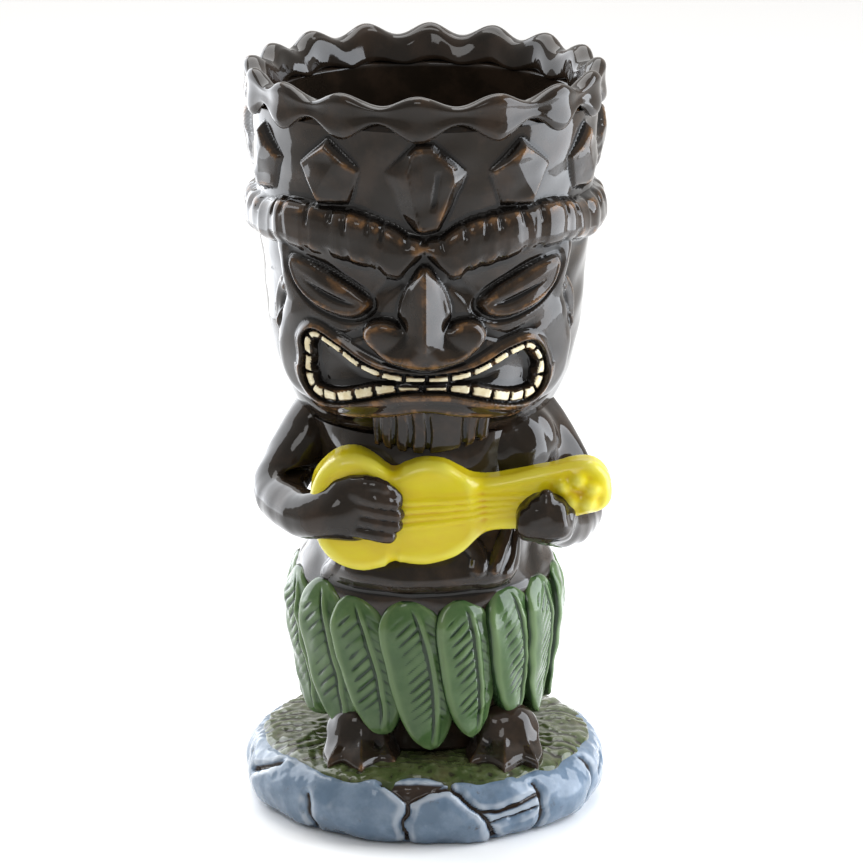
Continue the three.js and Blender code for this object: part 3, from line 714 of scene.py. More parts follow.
# Ridges of the belly under the guitar: points, height and half width.
BELLY_FOLDS = [
    ([(9.5, 71.5), (11.5, 68), (11, 65)], 0.9, 2.2),
    ([(21, 72), (17.5, 68.5), (14.5, 64.5)], 0.8, 1.8),
    ([(24, 70), (22, 65.5), (18.5, 62.5)], 0.7, 2.2),
    ([(-24, 70), (-21, 65), (-25, 61)], 0.7, 2.4),
]


BELLY_REACH = [(50, 52), (62, 62), (72, 78), (97, 78)]  # (height, degrees to either side)
TRUNK_TOP = NECK - 0.3


def make_trunk():
    columns = np.concatenate([np.arange(-72, 72, 0.75), np.arange(72, 288, 1.5)])
    low_rows, high_rows = np.arange(TRUNK_BOTTOM, 52, 1.0), np.arange(52, TRUNK_TOP, 0.4)
    angle, z = np.meshgrid(columns, np.concatenate([low_rows, high_rows, [TRUNK_TOP]]))
    angle = wrapped(angle)
    away = np.abs(angle)
    u = arc(angle, TRUNK_WRAP)
    flat = u * 0
    wall = along(TRUNK, z)
    facing = ramp(away, along(BELLY_REACH, z), 26)
    belly = np.maximum(along(FRONT, z) - wall, 0) * facing * ramp(z, 48, 54)
    back = 0.9 * ramp(away, 100, 150) * hump(z - 80, 22)
    spine = 0.8 * hump(arc(180 - away, TRUNK_WRAP), 3.5) * ramp(z, 62, 70) * ramp(z, 96, 90)
    hand = 0.16 * wobble(u, z, flat, 12, 61) + 0.2 * wobble(u, z, flat, 28, 62)
    belt = 0.25 * hump(z - 56.3 - 0.5 * wobble(u, flat, flat, 22, 63), 2.2)
    fold = 0.0
    for line, tall, wide in BELLY_FOLDS:
        d, _ = line_distance(u, z, spline(line), reach=4)
        fold = fold + tall * hump(d, wide)
    relief = belly + back - spine + hand + belt + fold
    outside = cylinder_points(angle, z, wall + relief)
    inner_z, inner_r = (column[:, None] for column in spline(TRUNK_INSIDE, 4).T)
    inner = cylinder_points(columns, inner_z, inner_r)
    foot = level_ring(columns, TRUNK_BOTTOM, 0.5)
    sheet = np.concatenate([foot, outside, inner])
    near = relief - blur(relief, 2, 2)
    unseen = [(len(foot), len(inner)), (0, 0)]
    fields = {"edge": np.pad(near * 0.5, unseen), "swell": np.pad(near * 2, unseen)}
    faces = grid_faces(len(sheet), len(columns), rows_close=False)
    trunk = add_mesh("trunk", sheet, faces, fields, grid_normals(sheet))
    finish_piece(trunk, "brown_glaze")


# ------------------------------------------------------------------ solids from distances
def capsules(x, y, z, rows, per, k):
    """Smooth union of tapered capsules along a smooth line through (x, y, z, radius)."""
    best = None
    rows = spline(rows, per)
    for (ax, ay, az, ar), (bx, by, bz, br) in zip(rows[:-1], rows[1:]):
        e = np.array([bx - ax, by - ay, bz - az])
        t = ((x - ax) * e[0] + (y - ay) * e[1] + (z - az) * e[2]) / (e @ e)
        t = np.clip(t, 0, 1)
        off = (x - ax - t * e[0]) ** 2 + (y - ay - t * e[1]) ** 2 + (z - az - t * e[2]) ** 2
        d = np.sqrt(off) - (ar + (br - ar) * t)
        best = d if best is None else smin(best, d, k)
    return best


def ball(x, y, z, centre, radii):
    """A rough distance to an ellipsoid."""
    (cx, cy, cz), (rx, ry, rz) = centre, radii
    q = np.sqrt(((x - cx) / rx) ** 2 + ((y - cy) / ry) ** 2 + ((z - cz) / rz) ** 2)
    return (q - 1) * min(radii)


def solid(name, low, high, voxel, distance, slot):
    """A piece meshed in a box from a distance function of x, y and z, negative inside."""
    low, high = np.array(low, float), np.array(high, float)
    counts = np.ceil((high - low) / voxel).astype(int) + 1
    axes = [low[i] + voxel * np.arange(counts[i]) for i in range(3)]
    x, y, z = np.meshgrid(*axes, indexing="ij", sparse=True)
    values = np.broadcast_to(distance(x, y, z), counts).astype(np.float32)
    grid = openvdb.FloatGrid(1e3)
    grid.copyFromArray(np.ascontiguousarray(values))
    points, quads = grid.convertToQuads(0.0)
    points = points * voxel + low
    a, b, c = (points[quads[:, k]] for k in range(3))
    volume = (np.cross(b - a, c - a) * a).sum()
    if volume < 0:
        quads = quads[:, ::-1]
    # curvature: the distances against a blurred copy of themselves
    soft = {}
    for key, reach in (("edge", 0.6), ("swell", 1.8)):
        half = max(1, round(reach / voxel))
        out = values
        for axis in (0, 0, 1, 1, 2, 2):
            out = box_mean(out, axis, half).astype(np.float32)
        soft[key] = sample(out - values, (points - low) / voxel)
    finish_piece(add_mesh(name, points, quads, soft), slot)


# ------------------------------------------------------------------ ukulele
GUITAR_TILT = 4.5
GUITAR_CENTRE = (-3.0, 81.0)
GUITAR_BACK = -24.5
GUITAR_FRONT = -36.6
GUITAR_TOP = [
    (-23.6, 0), (-23.1, 5.5), (-21.2, 10), (-17, 13.6), (-12, 14.3), (-7.6, 12.2), (-4.2, 9.7),
    (-0.8, 10.2), (3.6, 11.3), (8.4, 10.4), (12.2, 7.9), (15, 6.1), (19, 5.6), (26, 6.3), (33, 7.2),
    (39, 8.1), (43, 7.5), (46, 4.4), (46.6, 0.6),
]
GUITAR_BOTTOM = [
    (-23.6, 0), (-22.9, -5), (-20.4, -9.7), (-16.6, -12.9), (-12.3, -13.9), (-7.7, -13.5),
    (-4.2, -12.7), (-0.8, -13.5), (3.2, -13.7), (7.6, -12.8), (11.2, -11), (14.6, -8.3), (18, -7.1),
    (24, -7.2), (31, -6.4), (38, -5.2), (43, -4.6), (45.8, -2.6),
]


GUITAR_ROUND = 2.6  # radius of its edges
NECK_THINNER = 3.2  # how much thinner the neck is than the body
PEGS = [  # along and across the guitar, radius
    (35.2, 2.6, 0.7), (38.9, 3.6, 0.8), (42.0, 1.6, 0.7), (37.0, -0.9, 0.8), (40.6, -1.7, 0.9),
]


def to_guitar(x, z):
    """Places along and across the guitar, which is turned about the Y axis."""
    a = GUITAR_TILT * DEG
    dx, dz = x - GUITAR_CENTRE[0], z - GUITAR_CENTRE[1]
    return dx * math.cos(a) + dz * math.sin(a), -dx * math.sin(a) + dz * math.cos(a)


def guitar_distance(x, y, z):
    a, b = to_guitar(x, z)
    outline = spline(GUITAR_TOP + GUITAR_BOTTOM[1:][::-1], 3, closed=True)
    half = (GUITAR_BACK - GUITAR_FRONT) / 2
    middle = (GUITAR_BACK + GUITAR_FRONT) / 2
    crown = 0.9 * np.exp(-((a + 13) ** 2 + b**2) / 110)
    crown = crown + 0.6 * np.exp(-((a - 5) ** 2 + b**2) / 80)
    thickness = half - NECK_THINNER * ramp(a, 13, 17) * 0.5
    qa = -depth_in(a, b, outline, None) + GUITAR_ROUND
    qb = np.abs(y - middle + crown * 0.5) - thickness - crown * 0.5 + GUITAR_ROUND
    d = np.sqrt(np.maximum(qa, 0) ** 2 + np.maximum(qb, 0) ** 2)
    d = d + np.minimum(np.maximum(qa, qb), 0) - GUITAR_ROUND
    d = d + 0.1 * wobble(a, b, y, 8, 71)
    front = ramp(-y, -middle, -middle + 2)
    strings = 0
    for i in range(4):
        offset = (i - 1.5) * (2.0 - 0.026 * (a + 4))
        strings = np.maximum(strings, hump(b + 0.6 - offset, 0.75))
    strings = strings * ramp(a, -6.5, -3) * ramp(a, 34, 31)
    seam = hump(a + 4 - 0.12 * b, 1.8) * ramp(np.abs(b), 7.5, 11.5)
    d = d - 0.24 * front * strings + 0.55 * seam
    for pa, pb, r in PEGS:
        peg = np.sqrt((a - pa) ** 2 + (b - pb) ** 2 + (y - GUITAR_FRONT - 1.7) ** 2) - r - 0.8
        d = smin(d, peg, 1.8)
    return d


# ------------------------------------------------------------------ arms
RIGHT_ARM = [
    (-22.5, -3, 97, 7.2), (-27.6, -7, 90.6, 6.6), (-32.4, -11.5, 84, 6.0), (-34.2, -15.5, 80, 5.8),
    (-31, -25, 78.6, 5.3), (-26.2, -32.5, 78.8, 5.3), (-20.5, -35.8, 80.8, 5.6),
]
LEFT_ARM = [
    (22.5, -3, 97, 7.4), (29.3, -6, 89, 6.5), (34, -9.5, 81, 5.9), (35.7, -12.5, 74.8, 5.9),
    (34.2, -21, 74.4, 5.4), (31.5, -28, 75.6, 5.2), (29, -32, 77, 5.0),
]


RIGHT_TIPS = (-5.4, -5.0, -5.4, -6.8)  # x of the fingertips, from the top
RIGHT_THUMB = [
    (-19, -36.4, 85.8, 3.2), (-13.5, -38.4, 87.8, 2.5), (-9.4, -39.0, 87.2, 2.0),
    (-6.4, -38.4, 85.2, 1.3),
]
LEFT_FINGERS = [  # x, height of the tip, radius
    (23.2, 80.2, 2.0), (25.6, 82.9, 2.1), (28.1, 84.9, 2.2), (30.9, 82.2, 2.1),
]


def wall_cut(x, y, z, sink):
    """Positive where a point is deeper in the body's wall than a limb may sink."""
    wall = np.where(z > NECK, along(WALL, z), along(TRUNK, z))
    return wall - sink - np.sqrt(x**2 + y**2)


def right_arm(x, y, z):
    d = capsules(x, y, z, RIGHT_ARM, 3, 1.2)
    d = smin(d, ball(x, y, z, (-16.2, -37.4, 81.7), (6.8, 3.4, 7.1)), 2.2)
    for i, tip_x in enumerate(RIGHT_TIPS):
        tip_z = 83.6 - 2.55 * i
        root_z = 85.6 - 2.8 * i
        finger = [
            (-16, -38.8, root_z, 1.75),
            (-11, -40.3, (root_z + tip_z) / 2, 1.65),
            (tip_x - 1.6, -39.8, tip_z, 1.5),
            (tip_x - 1.1, -38.2, tip_z - 0.1, 1.3),
        ]
        d = smin(d, capsules(x, y, z, finger, 2, 0.3), 0.3)
    d = smin(d, capsules(x, y, z, RIGHT_THUMB, 2, 0.3), 1.4)
    crease = ball(x, y, z, (-28.5, -18.5, 84.6), (4.4, 5, 1.1))
    d = smax(d, -crease, 0.8) + 0.14 * wobble(x, y, z, 10, 81)
    return np.maximum(d, wall_cut(x, y, z, 0.6))


def left_arm(x, y, z):
    d = capsules(x, y, z, LEFT_ARM, 3, 1.2)
    d = smin(d, ball(x, y, z, (18.5, -10.5, 90.5), (13, 14.8, 12.5)), 3.0)
    d = smin(d, ball(x, y, z, (28.0, -35.0, 79.4), (7.0, 4.8, 6.0)), 2.0)
    for fx, tip_z, radius in LEFT_FINGERS:
        finger = [
            (fx + 0.6, -35.6, 75.8, 2.3),
            (fx + 0.3, -38.6, 77.4, 2.2),
            (fx, -39.3, (77 + tip_z) / 2, radius),
            (fx, -38.2, tip_z, radius * 0.85),
        ]
        d = smin(d, capsules(x, y, z, finger, 2, 0.3), 1.6)
    d = d + 0.14 * wobble(x, y, z, 8, 82)
    return np.maximum(d, wall_cut(x, y, z, 0.6))


COLLAR_GROOVES = (-9.4, -6.4, -3.0, 0.6, 8.2, 11.4)
COLLAR_FRONT = [(88, 31.4), (94, 32.2), (99, 33.2), (103, 34.1), (106, 34.6)]


def collar(x, y, z):
    u = arc(np.arctan2(x, -y) / DEG, COLLAR_WRAP)
    groove = 0.0
    for k, at in enumerate(COLLAR_GROOVES):
        off = u - at - 0.035 * (z - 97) * (at + 2) / 5 - 0.25 * np.sin(0.5 * z + k)
        groove = np.maximum(groove, hump(off, 0.85))
    front = along(COLLAR_FRONT, z) - 0.03 * np.abs(u) - 0.6 * groove
    lower = 93.0 + 0.014 * u**2 + 0.9 * groove
    sides = np.maximum(np.abs(u - 1.5) - 13.0, np.maximum(lower - z, z - 105.5))
    d = smax(np.sqrt(x**2 + y**2) - front, sides, 2.6)
    return np.maximum(d, wall_cut(x, y, z, 0.3))


# ------------------------------------------------------------------ feet
TOE_ROOT = -15.0  # where the toes of a foot fan out from
FOOT_BOTTOM = 15.6
TOES = [(-29, 17.0, 3.9), (-1, 18.4, 4.5), (27, 16.8, 3.6)]  # turn outwards, length, half width


def foot(side, middle):
    """A block of a foot, cut by grooves into three pointed toes."""

    def distance(x, y, z):
        x = x * side - middle
        toes = np.full(np.broadcast(x, y, z).shape, FAR)
        for turn, length, width in TOES:
            c, s = math.cos(turn * DEG), math.sin(turn * DEG)
            ahead = x * s - (y - TOE_ROOT) * c
            off = np.abs(x * c + (y - TOE_ROOT) * s)
            plan = [(0, 0.7), (7, 1), (length - 6, 0.97), (length, 0.05), (length + 5, -0.7)]
            crest = [(0, 27.5), (5, 26.0), (9, 23.6), (length - 4.5, 20.6), (length, 17.2)]
            beside = (off - width * along(plan, ahead)) * 0.9
            toe = smax(beside, (z - along(crest, ahead) + 0.62 * off) * 0.8, 0.8)
            toes = smin(toes, toe, 0.4)
        ankle = ball(x, y, z, (-0.3, -19.0, 22.4), (8.0, 6.6, 6.6))
        instep = ball(x, y, z, (0, -23.4, 16.6), (8.2, 5.6, 3.6))
        d = smin(smin(ankle, instep, 2.0), toes, 2.4) + 0.15 * wobble(x, y, z, 6, 95)
        return np.maximum(d, FOOT_BOTTOM - z)

    return distance


# ------------------------------------------------------------------ leaves
LEAVES = 16
SKIRT_TURN = 7.5
LEAF_LENGTHS = {0: 37.4, 1: 34.4, 15: 39.8, 14: 36.4, 13: 36.2}  # the leaves in front
LEAF_ROWS = 112
LEAF_COLUMNS = 52
WIDEST = 0.42  # share of a leaf's length where it is widest
SKIRT = [
    (18, 27.0), (24, 27.8), (31, 28.7), (37, 29.7), (43, 30.7), (49, 31.4), (54, 31.0),
    (58, 29.8), (61, 28.4),
]


def make_leaf(number):
    """A leaf with a midrib, side veins cut into its blade and a rounded rim. Its left
    edge lies on the leaf before it and its right edge under the next."""
    rng = np.random.default_rng(200 + number)
    centre = (number + 0.5) * 360 / LEAVES + SKIRT_TURN + rng.uniform(-1.2, 1.2)
    length = LEAF_LENGTHS.get(number, 36.6 + rng.uniform(-2.0, 1.2))
    width = 16.4 + rng.uniform(-0.7, 0.7)
    lean = 5.2 + rng.uniform(-1.0, 1.0)
    lower = 2.0 * float(ramp(abs(wrapped(centre)), 50, 30))
    top = 59.5 + rng.uniform(-0.8, 0.5) - lower
    length -= lower
    s = np.linspace(0, 1, LEAF_ROWS)[:, None]
    s = 0.55 * s + 0.225 * (1 - np.cos(math.pi * s))
    s, t = np.broadcast_arrays(s, np.linspace(-1, 1, LEAF_COLUMNS)[None, :])
    above = np.clip((WIDEST - s) / 0.425, 0, 1) ** 3.4
    below = np.clip((s - WIDEST) / 0.58, 0, 1) ** 2.5
    half = width / 2 * np.sqrt(1 - above - below)
    drop = length * s
    x = half * t + lean * (s - 0.45) + 0.7 * np.sin(math.pi * s)
    z = top - drop - 0.4 * t * ramp(s, 0.7, 1)
    flat = x * 0
    rim = half * (1 - np.abs(t))
    edge = np.minimum(rim, length * np.minimum(1 - s, s + 0.01) * 0.8)
    rounded = roll(edge, 1.7)
    off = half * (t - 0.22) + 0.35 * np.sin(5 * s + number)
    rib = 0.32 * hump(off - 0.5, 1.1) - 0.5 * hump(off + 0.25, 0.55) * ramp(s, 0.95, 0.8)
    pitch = 2.5 + rng.uniform(-0.15, 0.25)
    slant = drop - 0.8 * np.abs(off) + 0.2 * np.sin(3 * s + number)
    vein = np.abs((slant / pitch + rng.uniform()) % 1 - 0.5) * 2
    reach = ramp(-off, 7.0, 4.4) * ramp(-off, 0.3, 0.8) + 0.2 * ramp(off, 0.8, 1.6)
    pressed = 0.35 + 0.65 * ramp(wobble(x, z, flat, 13, 240 + number), -0.9, 0.5)
    cut = ramp(vein, 0.48, 1.0) * reach * ramp(edge, 0.9, 2.0)
    cut = cut * ramp(s, 0.08, 0.2) * ramp(s, 0.86, 0.74) * pressed
    tilt = -1.3 * t * ramp(s, 0.0, 0.2)
    cup = 0.6 * (1 - t**2)
    blade = 1.2 * rounded + rib * ramp(edge, 0.4, 1.6) * ramp(s, 0.02, 0.15)
    blade = blade - 0.5 * cut + cup + tilt
    curl = 0.6 * ramp(s, 0.72, 1.0) + 0.25 * rng.uniform(-1, 1) * s
    uneven = 0.2 * wobble(x, z, flat, 7, 210 + number)
    skirt = along(SKIRT, z)
    radius = skirt + blade + uneven - curl * 0.4
    angle = centre + x / LEAF_WRAP / DEG
    front = cylinder_points(angle, z, radius)
    back = cylinder_points(angle, z, np.minimum(radius - 0.25, skirt - 2.2 - 0.6 * rounded))
    rows, columns = front.shape[:2]
    size = rows * columns
    place = np.arange(size).reshape(rows, columns)
    rim_loop = [place[0], place[1:, -1], place[-1, -2::-1], place[-2:0:-1, 0]]
    rim_loop = np.concatenate(rim_loop)
    following = np.roll(rim_loop, -1)
    sides = np.stack([rim_loop, following, following + size, rim_loop + size], 1)
    quad = grid_faces(rows, columns, False, False, turned=True)
    faces = np.concatenate([quad, quad[:, ::-1] + size, sides])
    relief = blade - blur(blade, 3, 3, False)
    fields = {"edge": np.stack([relief, flat]), "swell": np.stack([-cut, flat])}
    leaf = add_mesh(f"skirt_leaf_{number + 1:02d}", np.stack([front, back]), faces, fields)
    finish_piece(leaf, "leaf_glaze")


# ------------------------------------------------------------------ ground
GRASS_STEPS = 300
GRASS_RINGS = 70
GRASS_BOTTOM = 9.0  # it ends inside the slab
BITE_AT = -2  # where the chip of the slab bites into the grass
GRASS_HEIGHT = [
    (12, 17.4), (24, 17.4), (30, 17.2), (34, 16.9), (37, 16.2), (39, 15.3), (41, 13.9),
]


def make_grass():
    angle = np.arange(GRASS_STEPS) * 360 / GRASS_STEPS
    a = angle * DEG
    bite = 3.4 * hump(wrapped(angle - BITE_AT), 10.5)
    uneven = 0.7 * wobble(35 * np.sin(a), 35 * np.cos(a), angle * 0, 9, 301)
    reach = GRASS_RADIUS + 2.4 - bite + 0.8 * np.cos(a) + uneven
    radius = np.linspace(0.4, 1, GRASS_RINGS)[:, None] * reach[None]
    x, y = radius * np.sin(a), -radius * np.cos(a)
    flat = x * 0
    comb = np.sin(a * 40 + 2.6 * wobble(x, y, flat, 13, 302)) * ramp(radius, 26, 33)
    comb = comb * ramp(np.abs(wrapped(angle)), 35, 62)
    tufts = wobble(x, y, flat, 2.6, 303, 9)
    relief = 0.22 * comb + 0.12 * tufts + 0.2 * wobble(x, y, flat, 8, 304)
    top = np.stack([x, y, along(GRASS_HEIGHT, radius) + relief], -1)
    under = top[[-1, 0]]
    under[..., 2] = GRASS_BOTTOM
    sheet = np.concatenate([top, under])
    unseen = [(0, len(under)), (0, 0)]
    near = relief - blur(relief, 1, 1)
    fields = {"edge": np.pad(near, unseen), "swell": np.pad(relief, unseen)}
    faces = grid_faces(len(sheet), GRASS_STEPS, turned=True)
    finish_piece(add_mesh("grass_mound", sheet, faces, fields), "grass_glaze")


# The cracks of the slab on its unrolled side: lists of (degrees, share of the way from
# the foot over the edge to the grass), each with a width in millimetres.
CRACKS = [
    ([(-41, 0.1), (-40, 0.35), (-41.5, 0.62)], 0.8),
    ([(-6.2, 0.08), (-6, 0.5), (-6.4, 0.72)], 0.7),
    ([(-6.4, 0.7), (-11, 0.86), (-15, 0.9)], 0.9),
    ([(-6.4, 0.7), (0, 0.83), (9, 0.88)], 0.9),
    ([(9, 0.92), (12.5, 0.76), (17, 0.6), (21, 0.34), (24, 0.12)], 0.9),
    ([(17, 0.58), (24, 0.56), (33, 0.6), (38, 0.64)], 0.8),
    ([(38, 0.78), (39.5, 0.6), (40.5, 0.34), (43, 0.12)], 0.7),
    ([(20, 0.4), (27, 0.46), (38, 0.5)], 0.45),
    ([(-74, 0.6), (-66, 0.72), (-58, 0.86)], 1.0),
    ([(-82, 0.3), (-80, 0.5), (-83, 0.7)], 0.8),
    ([(66, 0.85), (69, 0.55), (67, 0.2)], 0.8),
    ([(76, 0.55), (86, 0.62)], 0.8),
]
BACK_CRACKS = 9
HOLE = [(-13, 0.93), (7, 0.93), (-6.2, 0.66)]  # a chip out of the edge, as for the cracks
STONE_STEPS = 560
STONE_ROWS = 72
STONE_FOOT = 4.5  # length of the underside, before the unrolled side begins
STONE_TUCK = 3  # length that lies under the grass
STONE_BULGE = 0.9  # how far the slab may stand out past its CAD radius
STONE_SECTION = [  # radius, height
    (32.8, 0.9), (33.2, 0), (37.6, 0), (39.8, 0.9), (41.8, 3.0), (43.0, 6.4), (42.9, 9.2),
    (42.0, 12.0), (40.3, 14.2), (38.0, 15.2), (36.0, 15.2), (34.6, 14.6),
]
STONE_INSIDE = [(34.4, 9), (4, 8.6), (4, 3), (32.6, 3)]


def make_stone():
    line = spline(STONE_SECTION, 6)
    length = np.concatenate([[0], np.cumsum(np.hypot(*np.diff(line, axis=0).T))])
    s = np.linspace(0, length[-1], STONE_ROWS)
    radius = np.interp(s, length, line[:, 0])
    height = np.interp(s, length, line[:, 1])
    span = length[-1] - STONE_FOOT - STONE_TUCK
    angle = np.arange(STONE_STEPS) * 360 / STONE_STEPS
    a, p = np.meshgrid(wrapped(angle), np.clip((s - STONE_FOOT) / span, 0, 1))
    around, up = arc(a, STONE_WRAP), p * span
    flat = a * 0

    def unrolled(points):
        return [(arc(x, STONE_WRAP), y * span) for x, y in points]

    rng = np.random.default_rng(320)
    cracks = list(CRACKS)
    for i in range(BACK_CRACKS):
        at = wrapped(98 + 164 * (i + 0.5) / BACK_CRACKS + rng.uniform(-4, 4))
        rise = [(at + rng.uniform(-2.5, 2.5), q) for q in (0.1, 0.4, 0.7, 0.95)]
        cracks.append((rise, rng.uniform(0.6, 1.0)))
        if i % 2:
            q = rng.uniform(0.35, 0.7)
            cracks.append(([(at, q), (at + 8, q + 0.06), (at + 15, q - 0.04)], 0.6))
    jag = 0.3 * wobble(around, up, flat, 3.4, 321) + 0.6 * wobble(around, up, flat, 9, 322)
    crack = np.zeros(a.shape)
    slab = np.zeros(a.shape)
    for points, width in cracks:
        row = spline(unrolled(points), 4)
        d, _ = line_distance(around + jag * 0.6, up + jag * 0.5, row, reach=4)
        crack = np.maximum(crack, ramp(d, width * 0.9, width * 0.2))
        slab = np.maximum(slab, np.clip(1 - d / 1.9, 0, 1))
    hole = depth_in(around + jag * 0.4, up + jag * 0.3, unrolled(HOLE))
    crack = np.maximum(crack, ramp(hole, -0.6, 0.9))
    facets = 0.55 * wobble(around, up, flat, 16, 323)
    facets = facets + 0.16 * wobble(around, up, flat, 7, 324)
    facets = facets + 0.03 * wobble(around, up, flat, 2.4, 325)
    relief = ramp(p, 0.0, 0.12) * (facets * 0.8 - 0.75 * slab - 1.1 * crack)
    # the relief stands out along the normal of the section
    nr = np.gradient(height, s)
    nz = -np.gradient(radius, s)
    norm = np.hypot(nr, nz)
    r = radius[:, None] + relief * (nr / norm)[:, None]
    z = height[:, None] + relief * (nz / norm)[:, None]
    r = np.minimum(r, BASE_RADIUS + STONE_BULGE)
    outside = cylinder_points(angle, np.maximum(z, 0), r)
    inside_rings = [level_ring(angle, q, w) for w, q in STONE_INSIDE]
    sheet = np.concatenate([outside, *inside_rings])
    near = relief - blur(relief, 2, 2)

    def padded(field):
        return np.pad(field, [(0, len(STONE_INSIDE)), (0, 0)], constant_values=0.3)

    fields = {"edge": padded(near), "swell": padded(crack)}
    stone = add_mesh("stone_base", sheet, grid_faces(len(sheet), STONE_STEPS), fields)
    finish_piece(stone, "stone_glaze")


# ------------------------------------------------------------------ materials
class Nodes:
    """Short forms for building a node tree."""

    def __init__(self, tree):
        self.tree = tree
        self.links = tree.links
        self.links = tree.links
        self.place = self.new("ShaderNodeTexCoord").outputs["Object"]

    def new(self, kind, **settings):
        node = self.tree.nodes.new(kind)
        for key, value in settings.items():
            setattr(node, key, value)
        return node

    def put(self, socket, value):
        if isinstance(value, bpy.types.NodeSocket):
            self.links.new(value, socket)
        else:
            socket.default_value = value

    def noise(self, size, detail=3.0, roughness=0.5, distortion=0.0, stretch=None):
        node = self.new("ShaderNodeTexNoise")
        where = self.place
        if stretch:
            mapping = self.new("ShaderNodeMapping")
            mapping.inputs["Scale"].default_value = stretch
            self.links.new(self.place, mapping.inputs["Vector"])
            where = mapping.outputs["Vector"]
        self.links.new(where, node.inputs["Vector"])
        node.inputs["Scale"].default_value = 1 / (size * MM)
        node.inputs["Detail"].default_value = detail
        node.inputs["Roughness"].default_value = roughness
        node.inputs["Distortion"].default_value = distortion
        return node.outputs["Fac"]

    def field(self, name):
        return self.new("ShaderNodeAttribute", attribute_name=name).outputs["Fac"]

    def ramp(self, value, low, high, out_low=0.0, out_high=1.0):
        node = self.new("ShaderNodeMapRange")
        node.interpolation_type = "SMOOTHSTEP"
        self.put(node.inputs["Value"], value)
        ends = {"From Min": low, "From Max": high, "To Min": out_low, "To Max": out_high}
        for key, end in ends.items():
            node.inputs[key].default_value = end
        return node.outputs["Result"]

    def edge(self, low, high):
        return self.ramp(self.field("edge"), low, high)

    def swell(self, low, high):
        return self.ramp(self.field("swell"), low, high)

    def times(self, a, b):
        node = self.new("ShaderNodeMath", operation="MULTIPLY")
        self.put(node.inputs[0], a)
        self.put(node.inputs[1], b)
        return node.outputs[0]

    def mix(self, share, a, b):
        node = self.new("ShaderNodeMix", data_type="RGBA")
        self.put(node.inputs["Factor"], share)
        for socket, colour in ((node.inputs[6], a), (node.inputs[7], b)):
            self.put(socket, (*colour, 1) if isinstance(colour, tuple) else colour)
        return node.outputs[2]

    def bump(self, height, distance, strength=1.0, under=None):
        node = self.new("ShaderNodeBump")
        node.inputs["Strength"].default_value = strength
        node.inputs["Distance"].default_value = distance * MM
        self.put(node.inputs["Height"], height)
        if under is not None:
            self.links.new(under, node.inputs["Normal"])
        return node.outputs["Normal"]


def new_material(name):
    material = bpy.data.materials.new(name)
    material.use_nodes = True
    tree = material.node_tree
    return material, Nodes(tree), tree.nodes["Principled BSDF"]


def glaze(name, colour, rough=0.05, wave=0.3, ripple=0.05):
    """A thick clear glaze over a colour: mirror-like, with a slow waviness and a faint
    fine ripple."""
    material, n, shader = new_material(name)
    n.put(shader.inputs["Base Color"], colour(n))
    shader.inputs["IOR"].default_value = 1.4
    n.put(shader.inputs["Roughness"], n.ramp(n.noise(3.0), 0.3, 0.7, rough * 0.7, rough * 1.6))
    slow = n.bump(n.noise(9, 1), wave, 0.6)
    fine = n.bump(n.noise(1.6, 1), ripple, 0.35, under=slow)
    n.links.new(fine, shader.inputs["Normal"])
    return material


def brown(n):
    black, dark, rust = (0.0155, 0.0112, 0.0078), (0.030, 0.0195, 0.0130), (0.055, 0.029, 0.014)
    amber, pool = (0.17, 0.085, 0.032), (0.0050, 0.0040, 0.0034)
    ground = n.mix(n.ramp(n.noise(9, 4, 0.6), 0.42, 0.68), black, dark)
    breaks = n.ramp(n.noise(4.5, 5, 0.65, 0.6), 0.38, 0.72)
    swell = n.times(n.swell(0.26, 0.90), n.ramp(breaks, 0.2, 1.0, 0.15, 1.0))
    body = n.mix(n.times(swell, 0.45), ground, rust)
    edge = n.times(n.edge(0.08, 0.32), n.ramp(breaks, 0.1, 0.9, 0.10, 0.9))
    tone = n.mix(edge, body, amber)
    return n.mix(n.edge(-0.03, -0.14), tone, pool)


def cream(n):
    tone = n.mix(n.ramp(n.noise(2.2, 4, 0.6), 0.35, 0.7), (0.66, 0.56, 0.34), (0.80, 0.74, 0.55))
    stain = n.times(n.edge(0.0, -0.10), 0.85)
    speck = n.times(n.ramp(n.noise(1.0, 3, 0.7), 0.63, 0.74), 0.6)
    tone = n.mix(speck, tone, (0.30, 0.15, 0.05))
    return n.mix(stain, tone, (0.10, 0.05, 0.02))


def yellow(n):
    thick, thin, pale = (0.56, 0.37, 0.005), (0.60, 0.50, 0.006), (0.66, 0.62, 0.10)
    streak = n.ramp(n.noise(5, 4, 0.6, 0.4, stretch=(0.35, 1, 1.3)), 0.35, 0.7)
    tone = n.mix(streak, thin, (0.58, 0.44, 0.008))
    tone = n.mix(n.times(n.swell(0.15, 0.8), 0.8), tone, pale)
    tone = n.mix(n.times(n.swell(-0.05, -0.6), 0.5), tone, thick)
    return n.mix(n.times(n.edge(-0.02, -0.14), 0.7), tone, (0.52, 0.31, 0.006))


def leaf(n):
    deep, green, light = (0.014, 0.032, 0.011), (0.044, 0.088, 0.029), (0.098, 0.155, 0.060)
    tone = n.mix(n.ramp(n.noise(6, 4, 0.6), 0.35, 0.7), green, (0.066, 0.116, 0.042))
    tone = n.mix(n.edge(0.02, 0.22), tone, light)
    tone = n.mix(n.edge(-0.01, -0.14), tone, deep)
    return n.mix(n.times(n.swell(-0.15, -0.9), 0.85), tone, (0.012, 0.03, 0.012))


